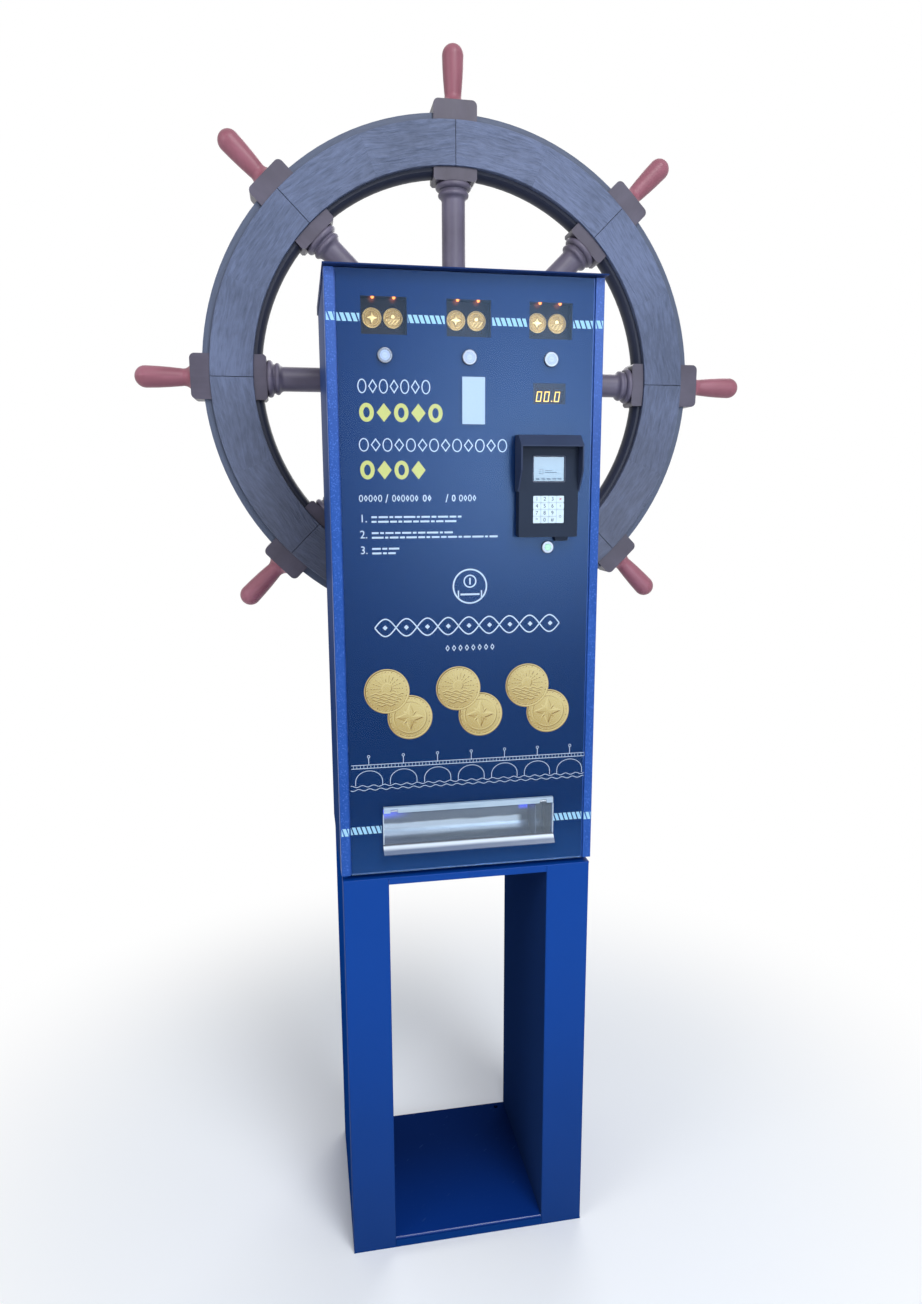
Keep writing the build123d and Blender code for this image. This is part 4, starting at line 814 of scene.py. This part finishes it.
# Line drawing across the lower part: a plain arched quay with lamps, over two rows of waves
BAY, BAY_COUNT, QUAY_LEFT = 59.3, 7, -203.0
PIER_FOOT, ARCH_FOOT, ARCH_HALF, ARCH_RISE = 925.5, 932.5, 23, 19
RAIL_FOOT, RAIL_HEAD, RAIL_PITCH = 956.5, 961, 5.95
LAMP_HEAD, LAMP_RING = 974, 976.6
WAVE_REACH, WAVE_LENGTH = 1.5, 19
t = np.linspace(math.pi, 0, 24)
for i in range(BAY_COUNT):
    x0 = QUAY_LEFT + i * BAY
    middle = x0 + BAY / 2
    arch = [middle + ARCH_HALF * np.cos(t), ARCH_FOOT + ARCH_RISE * np.sin(t)]
    white.stroke(np.stack(arch, 1), 1.0)
    white.bar(x0 + 6.1, x0 + 7.1, PIER_FOOT, ARCH_FOOT)
    white.bar(x0 + BAY - 7.1, x0 + BAY - 6.1, PIER_FOOT, ARCH_FOOT)
    white.bar(middle - 0.5, middle + 0.5, RAIL_HEAD, LAMP_HEAD)
    white.ring(middle, LAMP_RING, 2.6, 2.6, 0.9, 24)
    for x in np.arange(x0 + 3, x0 + BAY - 1, RAIL_PITCH):
        white.bar(x, x + 0.7, RAIL_FOOT, RAIL_HEAD)
for level in (955.5, 961.5):
    white.bar(QUAY_LEFT, QUAY_LEFT + BAY_COUNT * BAY, level, level + 1.1)
run = np.linspace(-205, 212, 420)
for level, phase in ((924.5, 0.0), (918.0, 2.1)):
    wave = level + WAVE_REACH * np.sin(run * 2 * math.pi / WAVE_LENGTH + phase)
    white.stroke(np.stack([run, wave], 1), 1.0)
white.make("print_white", ink_white, "door", "print")
gold.make("print_yellow", ink_yellow, "door", "print")

label = Print(glass_lo.y - 0.0002)
label.bar(-10.3, 27, 1526.3, 1599.8)
label.make("blank_label", paper, "door", "print")

# Medals: one relief serves the struck medals and the printed ones. Sizes are shares of the radius
RIM_STEP, BEAD_COUNT, BEAD_RING = (0.925, 0.95), 40, 0.87
STARS = ((4, 0.66, 0.2), (8, 0.46, 0.15))
SUN_Z, RAY_COUNT = 0.14, 18


def smooth(low, high, value):
    """Smooth step from 0 at low to 1 at high."""
    t = np.clip((value - low) / (high - low), 0, 1)
    return t * t * (3 - 2 * t)


def medal_relief(kind, r, a):
    """Height from 0 to 1: a raised rim, a ring of beads, and a star or a sun over waves.

    Each form is a smooth step over the way to its edge, and the highest form counts."""
    h = smooth(*RIM_STEP, r) * 0.9
    step = 2 * math.pi / BEAD_COUNT
    bead = np.hypot(r - BEAD_RING, (np.mod(a, step) - step / 2) * BEAD_RING)
    h = np.maximum(h, (1 - smooth(0.018, 0.036, bead)) * 0.55)
    x, z = r * np.cos(a), r * np.sin(a)
    if kind == 0:
        for points, reach, width in STARS:
            half = math.pi / points
            between = math.pi / 4 if points == 8 else 0.0
            turned = np.mod(a + math.pi / 2 + half + between, 2 * half) - half
            body = smooth(0, 0.03, (reach - r) * width - np.abs(turned) * r * 0.42)
            h = np.maximum(h, body * (0.75 - 0.35 * smooth(0, 0.1, turned * r)))
        return np.maximum(h, (1 - smooth(0.012, 0.03, np.abs(r - 0.72))) * 0.5)
    for i in range(5):
        line = z + 0.12 + i * 0.12 + 0.035 * np.sin(x * 16 + i * 1.3)
        h = np.maximum(h, (1 - smooth(0.018, 0.045, np.abs(line))) * 0.55 * (r < 0.74))
    sun, up = np.hypot(x, z - SUN_Z), z > -0.02
    h = np.maximum(h, (1 - smooth(0.2, 0.23, sun)) * 0.7 * up)
    step = 2 * math.pi / RAY_COUNT
    ray = np.abs(np.mod(np.arctan2(z - SUN_Z, x) + step / 2, step) - step / 2) * sun
    return np.maximum(h, (1 - smooth(0.008, 0.025, ray)) * 0.5 * (sun > 0.27) * (r < 0.72) * up)


def polar(rings, sectors):
    """Radius and angle over a unit disc, from a small centre ring out to 1."""
    turn = np.linspace(0, 2 * math.pi, sectors, endpoint=False)
    return np.meshgrid(np.linspace(0.004, 1, rings), turn, indexing="ij")


def disc_points(r, a, radius, cx, cz, y):
    """Points of a disc facing the viewer, its angle running so that its faces look forward."""
    return np.stack([cx + radius * r * np.cos(a), y, cz + radius * r * np.sin(a)], -1)[:, ::-1]


MEDAL_RADIUS, MEDAL_RISE, MEDAL_EDGE = 0.0155, 0.0009, 0.985
brass = Finish("struck_brass", Metallic=1.0)
stain = brass.noise(160.0, 3.0)
# Painted shade: the sunk fields darker than the raised relief
raised = brass.xyz()[1].fade(medal_lo.y + MEDAL_RISE, medal_lo.y + MEDAL_RISE * 0.4)
metal = brass.mix(raised, tone(104, 84, 50), tone(214, 192, 138))
brass.set(Base_Color=brass.mix(stain * 0.4, metal, tone(186, 158, 96)))
brass.set(Roughness=stain * 0.15 + 0.24)
brass.relief(brass.noise(2500.0, 1.0), 0.00001)

r, a = polar(48, 160)
medals = Surface()
for column in COLUMNS:
    for kind, side in enumerate((-1, 1)):
        cx, cz = column + side * MEDAL_SPREAD, (medal_lo.z + medal_hi.z) / 2
        h = np.where(r > MEDAL_EDGE, 0.45, medal_relief(kind, r, a))
        face = disc_points(r, a, MEDAL_RADIUS, cx, cz, medal_lo.y + MEDAL_RISE * (1 - h))
        edge = face[-1:].copy()
        edge[..., 1] = medal_hi.y - 0.0001
        medals.grid(np.concatenate([face, edge]), wrap=True)
        medals.fan(edge[0][::-1])
        medals.fan(face[0])
medals = merged(medals.make("struck_medals", brass, "door", "medal_brass", True))
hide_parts("display_medals")

# Printed medals, shaded by the same relief as if lit from the upper left: each pair has the
# centre of its upper and of its lower medal, which lies in front
PRINTED_PAIRS = (
    ((-140.1, 1089), (-101.4, 1042.4)), ((-17.9, 1089), (20.9, 1041.9)),
    ((103.3, 1089.3), (141.1, 1042.1)),
)
PRINT_RADIUS, PRINT_STEP, LIGHT_ANGLE, NUDGE = 0.0385, 0.00003, 2.2, 1e-3
PRINT_GOLD, SHADE_POWERS = np.array(tone(192, 173, 117)), np.array([1.1, 1.5, 2.2])
coin_print = Finish("coin_print", Specular_IOR_Level=0.0, Roughness=0.5)
shade = coin_print.node("ShaderNodeAttribute", {"attribute_name": "shade"}, out="Color")
coin_print.set(Base_Color=shade)
r, a = polar(56, 144)
coins, shades = Surface(), []
for pair in PRINTED_PAIRS:
    for kind, (cx, cz) in enumerate(pair):
        h = medal_relief(1 - kind, r, a)
        px = r * np.cos(a) + NUDGE * math.cos(LIGHT_ANGLE)
        pz = r * np.sin(a) + NUDGE * math.sin(LIGHT_ANGLE)
        slope = (medal_relief(1 - kind, np.hypot(px, pz), np.arctan2(pz, px)) - h) / NUDGE
        light = 0.96 + 0.17 * np.cos(a - LIGHT_ANGLE + 1.1) * r - slope * 0.038
        light = np.where(np.abs(r - 0.935) < 0.012, light * 0.84, light)
        light = np.clip(np.where(r > 0.984, light * 0.6, light), 0.3, 1.15)[..., None]
        depth = np.full(r.shape, ink_y - PRINT_STEP * (2 - kind))
        face = disc_points(r, a, PRINT_RADIUS, cx * MM, cz * MM, depth)
        coins.grid(face, wrap=True)
        coins.fan(face[0])
        tint = (PRINT_GOLD * light ** SHADE_POWERS)[:, ::-1]
        tint = np.concatenate([tint.reshape(-1, 3), tint[0]])
        shades.append(np.concatenate([np.clip(tint, 0, 1), np.ones((len(tint), 1))], 1))
coins = coins.make("printed_medals", coin_print, "door", "print")
layer = coins.data.color_attributes.new("shade", "FLOAT_COLOR", "POINT")
layer.data.foreach_set("color", np.concatenate(shades).astype(np.float32).ravel())

# Lamps: a domed lens on a thin flange, as a profile turned about its own axis
LENS_RADIUS, LENS_SIDE, FLANGE_RADIUS, FLANGE_THICK = 0.0025, 0.003, 0.00295, 0.001


def lens(surface, centre, axis):
    """Radius against reach along the axis: dome, straight side, flange, closed at the back."""
    t = np.linspace(0.02, math.pi / 2, 8)
    flange = [LENS_RADIUS, FLANGE_RADIUS, FLANGE_RADIUS, 0.0001]
    radius = np.concatenate([LENS_RADIUS * np.sin(t), flange])
    back = [0.0, 0.0, -FLANGE_THICK, -FLANGE_THICK]
    reach = np.concatenate([LENS_SIDE + LENS_RADIUS * np.cos(t), back])
    a = np.linspace(0, 2 * math.pi, 24, endpoint=False)
    axis = np.array(axis, float)
    u = np.cross(axis, (0, 1, 0))
    v = np.cross(axis, u)
    turned = np.cos(a)[None, :, None] * u + np.sin(a)[None, :, None] * v
    points = np.array(centre) + reach[:, None, None] * axis + radius[:, None, None] * turned
    surface.grid(points, wrap=True)


lamp_warm = lit("lamp_warm", tone(255, 146, 70), 2.4)
lamp_blue = lit("lamp_blue", tone(60, 80, 255), 3.0)
web_back = film_hi.y + 0.0015
window_lamp_y, tray_lamp_y, tray_lamp_z = web_back + 0.0052, web_back + 0.012, 0.872
warm = Surface()
for column in COLUMNS:
    for side in (-1, 1):
        x, z = column + side * MEDAL_SPREAD, lamp_hi.z - FLANGE_THICK
        lens(warm, (x, window_lamp_y, z), (0, 0, -1))
warm = merged(warm.make("window_lamps", lamp_warm, "door", "lamp_warm", True))
cool = Surface()
lens(cool, (lamp_lo.x + FLANGE_THICK, tray_lamp_y, tray_lamp_z), (1, 0, 0))
lens(cool, (0.1232, tray_lamp_y, tray_lamp_z), (-1, 0, 0))
cool = merged(cool.make("tray_lamps", lamp_blue, "door", "lamp_warm", True))
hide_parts("led_lamps")
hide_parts("led_lamps")

# Number display: three noughts of leaning segments, with a point before the last
amber = lit("amber", tone(250, 206, 62), 0.95)
figures = Print(price_lo.y - 0.0001)
WIDE, TALL, THIN, FOOT = 8.4, 16.0, 1.3, 1563.6


def nought(shapes, x):
    """Two level bars and two uprights of two halves each, leaning by a seventh of the height."""
    for level in (TALL - THIN, 0.0):
        left = x + level / 7
        shapes.bar(left, left + WIDE, FOOT + level, FOOT + level + THIN)
    for offset in (0.0, WIDE - THIN):
        for half in (0, 1):
            left, z = x + offset + half * TALL / 14, FOOT + half * TALL / 2
            shapes.bar(left, left + THIN, z, z + TALL / 2, TALL / 14)


for x in (112.5, 125.5, 143.0):
    nought(figures, x)
figures.bar(138.4, 140.2, FOOT, FOOT + 1.8)
figures.make("price_figures", amber, "door", "display_black")

# Terminal: screen glass with its picture, whose marks are counted from its lower left corner
screen = Finish("screen", Emission_Strength=0.1, Roughness=0.14)
rise = (screen.xyz()[2] - screen_lo.z) / (screen_hi.z - screen_lo.z)
glow = screen.mix(rise, tone(106, 138, 162), tone(118, 151, 177))
screen.set(Base_Color=glow, Emission_Color=glow)
nodes["terminal_screen"].data.materials[0] = screen.material

MARK_COUNT, MARK_PITCH = 5, 9.4
marks = Print(screen_lo.y - 0.00006)
left, low = screen_lo.x / MM, screen_lo.z / MM
for i in range(MARK_COUNT):
    marks.bar(left + 3.5 + i * MARK_PITCH, left + 9.6 + i * MARK_PITCH, low + 2.2, low + 4.6)
for x0, x1, z0, z1 in (
    (10, 10.8, 11, 19), (10, 16, 18.4, 19.1), (10, 16, 11, 11.7), (15.3, 16, 11, 19),
    (19, 31, 16.2, 17.3), (19, 39, 13, 14.1),
):
    marks.bar(left + x0, left + x1, low + z0, low + z1)
marks.make("screen_marks", ink("mark_grey", tone(112, 132, 152)), "door", "screen")


def frame_band(surface, lo, hi, out, corner, profile):
    """Rounded rectangle round a box, swept by a profile of outward steps and depths."""
    quarters = [np.linspace(k * math.pi / 2, (k + 1) * math.pi / 2, 8) for k in range(4)]
    turn = np.concatenate(quarters)
    sx = np.repeat([1, -1, -1, 1], 8)
    sz = np.repeat([1, 1, -1, -1], 8)
    cx, cz = (lo.x + hi.x) / 2, (lo.z + hi.z) / 2
    hx, hz = (hi.x - lo.x) / 2 + out - corner, (hi.z - lo.z) / 2 + out - corner
    rows = []
    for step, y in profile:
        x = cx + sx * hx + (corner + step) * np.cos(turn)
        z = cz + sz * hz + (corner + step) * np.sin(turn)
        rows.append(np.stack([x, np.full_like(x, y), z], -1))
    surface.grid(np.stack(rows)[:, ::-1], wrap=True)


# Frame round the screen: its section stands on the face of the terminal's body
body_lo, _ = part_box("terminal_body")
BEZEL_GAP, BEZEL_CORNER = 0.0004, 0.0012
BEZEL_SECTION = (
    (0, 0.0009), (0, -0.0003), (0.0004, -0.0006), (0.0016, -0.0006), (0.0022, -0.0002),
    (0.0022, 0.0001),
)
bezel_grey = moulding("bezel_grey", tone(58, 68, 90), 0.35)
bezel = Surface()
profile = [(step, body_lo.y + depth) for step, depth in BEZEL_SECTION]
frame_band(bezel, screen_lo, screen_hi, BEZEL_GAP, BEZEL_CORNER, profile)
bezel.make("screen_bezel", bezel_grey, "door", "terminal_grey", True)

# Web between the keys: thin ribs halfway between neighbours, none across the tall key
face_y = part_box("key_1")[0].y + 0.0005
WEB_HALF, WEB_DEEP = 0.0003, 0.003
web = Surface()
keys_lo, keys_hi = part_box("key_star")[0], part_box("key_cancel")[1]
pitch_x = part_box("key_2")[0].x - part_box("key_1")[0].x
pitch_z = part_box("key_1")[0].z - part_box("key_4")[0].z
gap = pitch_x - (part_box("key_1")[1].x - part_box("key_1")[0].x)
web_front = face_y - 0.0001


def rib(surface, x0, x1, z0, z1):
    """Closed box whose front is near the key fronts: a rectangle carried back."""
    loop = np.array([[x0, z0], [x1, z0], [x1, z1], [x0, z1]])
    depths = (web_front, web_front + WEB_DEEP)
    rows = [np.stack([loop[:, 0], np.full(4, y), loop[:, 1]], -1) for y in depths]
    surface.grid(np.stack(rows)[::-1], wrap=True)
    surface.fan(rows[0])
    surface.fan(rows[1][::-1])


for i in range(1, 4):
    x = keys_lo.x + i * pitch_x - gap / 2
    rib(web, x - WEB_HALF, x + WEB_HALF, keys_lo.z, keys_hi.z)
for j in range(1, 4):
    z = keys_lo.z + j * pitch_z - gap / 2
    reach = keys_lo.x + 3 * pitch_x - gap / 2 - WEB_HALF if j == 1 else keys_hi.x
    for i in range(4 if j > 1 else 3):
        x0 = keys_lo.x + i * pitch_x + (WEB_HALF - gap / 2 if i else 0.0)
        x1 = min(keys_lo.x + (i + 1) * pitch_x - gap / 2 - WEB_HALF, reach)
        rib(web, x0, x1, z - WEB_HALF, z + WEB_HALF)
web.make("keypad_web", key_white, "door", "key_white")

# Key figures, and a cross, an arrow head and a ring on the three keys at the side
FIGURE_SIZE, SIGN_RISE = 6.0, 0.00005
key_ink, key_red = ink("key_ink", tone(42, 52, 74)), ink("key_red", tone(200, 60, 76))
KEY_SIGNS = {"key_star": "*", "key_hash": "#", **{f"key_{i}": str(i) for i in range(10)}}
SIDE_KEYS = (
    ("key_cancel", key_red, "key_red"), ("key_clear", key_ink, "key_yellow"),
    ("key_enter", key_ink, "key_green"),
)
for name, sign in KEY_SIGNS.items():
    lo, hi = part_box(name)
    mark = Print(lo.y - SIGN_RISE)
    cx, cz = (lo.x + hi.x) / 2 / MM, (lo.z + hi.z) / 2 / MM
    mark.figures(sign, cx, cz, FIGURE_SIZE, "CENTER")
    mark.make(name + "_sign", key_ink, name + "_cap", "key_white")
for name, finish, slot in SIDE_KEYS:
    lo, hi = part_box(name)
    cx, cz = (lo.x + hi.x) / 2 / MM, (lo.z + hi.z) / 2 / MM
    mark = Print(lo.y - SIGN_RISE)
    if name == "key_cancel":
        mark.stroke([(cx - 1.7, cz - 1.7), (cx + 1.7, cz + 1.7)], 0.8)
        mark.stroke([(cx - 1.7, cz + 1.7), (cx + 1.7, cz - 1.7)], 0.8)
    elif name == "key_clear":
        mark.stroke([(cx + 1.0, cz + 1.6), (cx - 0.9, cz), (cx + 1.0, cz - 1.6)][::-1], 0.6)
    else:
        mark.ring(cx, cz, 1.9, 1.9, 0.6, 28)
    mark.make(name + "_sign", finish, name + "_cap", slot)

# Rim boards: each face is a grid in angle and radius, sunk by its own straight raised grain
LATTICE = 128
FACE_OUT, FACE_IN, ROUND, BOARD_THICK = 0.475, 0.394, 0.002, 0.012
OPEN_SEAM, FINE_SEAM = 0.0006, 0.00004
GRAIN_RISE, GRAIN_START = 0.0007, 3.0


def lattice_noise(u, v, seed):
    """Smooth noise: seeded random numbers on a unit lattice, blended by a smooth step."""
    table = np.random.default_rng(seed).random((LATTICE, LATTICE))
    i, j = np.floor(u).astype(int), np.floor(v).astype(int)
    s, t = smooth(0, 1, u - i), smooth(0, 1, v - j)
    i0, i1, j0, j1 = i % LATTICE, (i + 1) % LATTICE, j % LATTICE, (j + 1) % LATTICE
    low = table[i0, j0] * (1 - s) + table[i1, j0] * s
    high = table[i0, j1] * (1 - s) + table[i1, j1] * s
    return low * (1 - t) + high * t


def grain_depth(along, across, seed):
    """Depth from 0 to 1: long narrow ridges that sway a little, and a few gouges."""
    sway = lattice_noise(along / 0.06, across / 0.05, seed) * 0.008
    ridges = lattice_noise(along / 0.042, (across + sway) / 0.0048, seed + 1)
    fine = lattice_noise(along / 0.018, (across + sway) / 0.003, seed + 2)
    gouge = smooth(0.8, 0.95, lattice_noise(along / 0.024, (across + sway * 2) / 0.006, seed + 3))
    return np.clip(ridges * 0.42 + fine * 0.26 + gouge * 0.5, 0, 1)


def rim_board(surface, index, y_face, y_core, rows, cols, seed):
    """Closed board: its section runs up the inner edge, over the face and down the outer edge.

    Its depth is the core's, plus the way to the face times rise and lift, less the sunk grain.
    Rise rounds both edges along the radius, and lift closes both ends along the angle."""
    bay = math.radians(BOARD_BAY)
    cut = [OPEN_SEAM, FINE_SEAM] if index % 2 == 0 else [FINE_SEAM, OPEN_SEAM]
    t = np.linspace(0, math.pi / 2, 4)
    flat = np.linspace(FACE_IN + ROUND, FACE_OUT - ROUND, rows)[1:-1]
    inner, outer = FACE_IN + ROUND * (1 - np.cos(t)), FACE_OUT - ROUND * (1 - np.sin(t))
    radius = np.concatenate([[FACE_IN], inner, flat, outer, [FACE_OUT]])[:, None]
    share = ROUND / BOARD_THICK
    up, down = 1 - share * (1 - np.sin(t)), 1 - share * (1 - np.cos(t))
    rise = np.concatenate([[0.0], up, np.ones(rows - 2), down, [0.0]])[:, None]
    angle = np.concatenate([[0.0], np.linspace(0, 1, cols), [1.0]])
    lift = np.ones(cols + 2)
    lift[[0, -1]] = 0.0
    start = index * bay
    a = start + cut[0] / radius + angle * (bay - (cut[0] + cut[1]) / radius)
    r = np.broadcast_to(radius, a.shape)
    middle = start + bay / 2
    along, across = r * np.sin(a - middle), r * np.cos(a - middle)
    sunk = GRAIN_RISE * grain_depth(along + GRAIN_START, across, seed) * (rise > 0.99)
    y = y_core + (y_face - y_core) * rise * lift + np.sign(y_core - y_face) * sunk * lift
    points = np.stack([wheel.x + r * np.cos(a), y, wheel.z + r * np.sin(a)], -1)
    surface.grid(points if y_face < y_core else points[::-1])


front, back = Surface(), Surface()
for index in range(16):
    rim_board(front, index, felloe_lo.y, core_lo.y, 56, 84, 100 + index * 7)
    rim_board(back, index, felloe_hi.y, core_hi.y, 22, 34, 500 + index * 7)
front = merged(front.make("rim_boards_front", board_wood, "wheel", "rim_board_wood"))
back = merged(back.make("rim_boards_back", board_wood, "wheel", "rim_board_wood"))
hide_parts("wheel_felloes")
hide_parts("wheel_felloes")

# Camera as solved from the photograph: lengths in its pixels, angles in degrees
PHOTO_HEIGHT, FOCAL, SHIFT_X, SHIFT_Y = 1304, 883.102, -5.374, 8.066
SENSOR = 36.0
EYE = (-0.276289, -1.446318 + glass_lo.y, 1.421619)
camera = bpy.data.cameras.new("camera")
camera.sensor_width = SENSOR
camera.lens = FOCAL * SENSOR / PHOTO_HEIGHT
camera.shift_x, camera.shift_y = SHIFT_X / PHOTO_HEIGHT, SHIFT_Y / PHOTO_HEIGHT
camera.clip_start = 0.05
eye = bpy.data.objects.new("camera", camera)
bpy.context.scene.collection.objects.link(eye)
bpy.context.scene.camera = eye
yaw, pitch, roll = math.radians(10.642), math.radians(10.888), math.radians(-0.123)
level = math.cos(pitch)
forward = Vector((math.sin(yaw) * level, math.cos(yaw) * level, -math.sin(pitch)))
right = forward.cross(Vector((0, 0, 1))).normalized()
up = right.cross(forward)
right, up = (
    right * math.cos(roll) + up * math.sin(roll), up * math.cos(roll) - right * math.sin(roll)
)
turned = Matrix((right, up, -forward)).transposed().to_4x4()
turned.translation = Vector(EYE)
eye.matrix_world = turned


# Soft boxes, pale world and white floor
def soft_box(name, place, target, width, height, power, colour=WHITE):
    """Rectangular lamp at a place, turned to a target."""
    light = bpy.data.lights.new(name, "AREA")
    light.shape, light.size, light.size_y = "RECTANGLE", width, height
    light.energy, light.color = power, colour
    item = bpy.data.objects.new(name, light)
    bpy.context.scene.collection.objects.link(item)
    item.location = place
    item.rotation_euler = (Vector(target) - Vector(place)).to_track_quat("-Z", "Y").to_euler()
    return light


def fade_edges(light, strength):
    """Sine over both parameters of the lamp's face, so that its mirror image is soft."""
    g = Graph(light)
    u, v, _ = g.split(g.node("ShaderNodeNewGeometry", out="Parametric"))
    glow = (u * math.pi).math("SINE") * (v * math.pi).math("SINE") * strength
    emission = g.node("ShaderNodeEmission", None, {"Strength": glow})
    g.node("ShaderNodeOutputLight", None, {0: emission})


soft_box("key", (0.7, -3.0, 4.4), (0, 0, 1.2), 2.4, 2.0, 110.0)
soft_box("left_fill", (-3.2, -2.0, 2.8), (0, 0, 1.2), 2.0, 2.0, 32.0)
panel_box = soft_box(
    "panel_box", (0.9, -3.3, 1.65), (0, 0, 1.45), 1.7, 2.0, 56.0, (0.8, 0.9, 1.0)
)
fade_edges(panel_box, 2.0)
soft_box("behind", (1.2, 3.2, 3.2), (0, 0, 1.3), 2.4, 2.4, 45.0)

world = bpy.data.worlds.new("world")
bpy.context.scene.world = world
sky = Graph(world)
lighting = sky.node("ShaderNodeBackground", None, {0: (0.88, 0.93, 1.0), 1: 0.38})
shown = sky.node("ShaderNodeBackground", None, {0: WHITE, 1: BACKGROUND_WHITE})
swap = sky.node("ShaderNodeMixShader", None, {0: sky.seen(), 1: lighting, 2: shown})
sky.node("ShaderNodeOutputWorld", None, {0: swap})

# The floor is lit near the object, where it takes the shadow, and fades into the white further out
FLOOR_HALF, FLOOR_FADE = 9, (0.5, 1.5)
ground = Finish(
    "ground", Roughness=0.9, Specular_IOR_Level=0.0, Emission_Strength=BACKGROUND_WHITE
)
gx, gy, _ = ground.xyz()
far = (gx * gx + gy * gy).math("SQRT").fade(*FLOOR_FADE) * ground.seen()
cloud = ground.mix(ground.noise(2.0), (0.92, 0.93, 0.95), (0.95, 0.955, 0.965))
ground.set(Base_Color=ground.mix(far, cloud, BLACK))
ground.set(Emission_Color=ground.mix(far, BLACK, WHITE))
floor_mesh = bpy.data.meshes.new("floor")
corners = [(sx * FLOOR_HALF, sy * FLOOR_HALF, 0) for sx, sy in ((-1, -1), (1, -1), (1, 1), (-1, 1))]
floor_mesh.from_pydata(corners, [], [(0, 1, 2, 3)])
floor_mesh.materials.append(ground.material)
floor = bpy.data.objects.new("floor", floor_mesh)
bpy.context.scene.collection.objects.link(floor)

bpy.context.scene.view_settings.view_transform = "Standard"
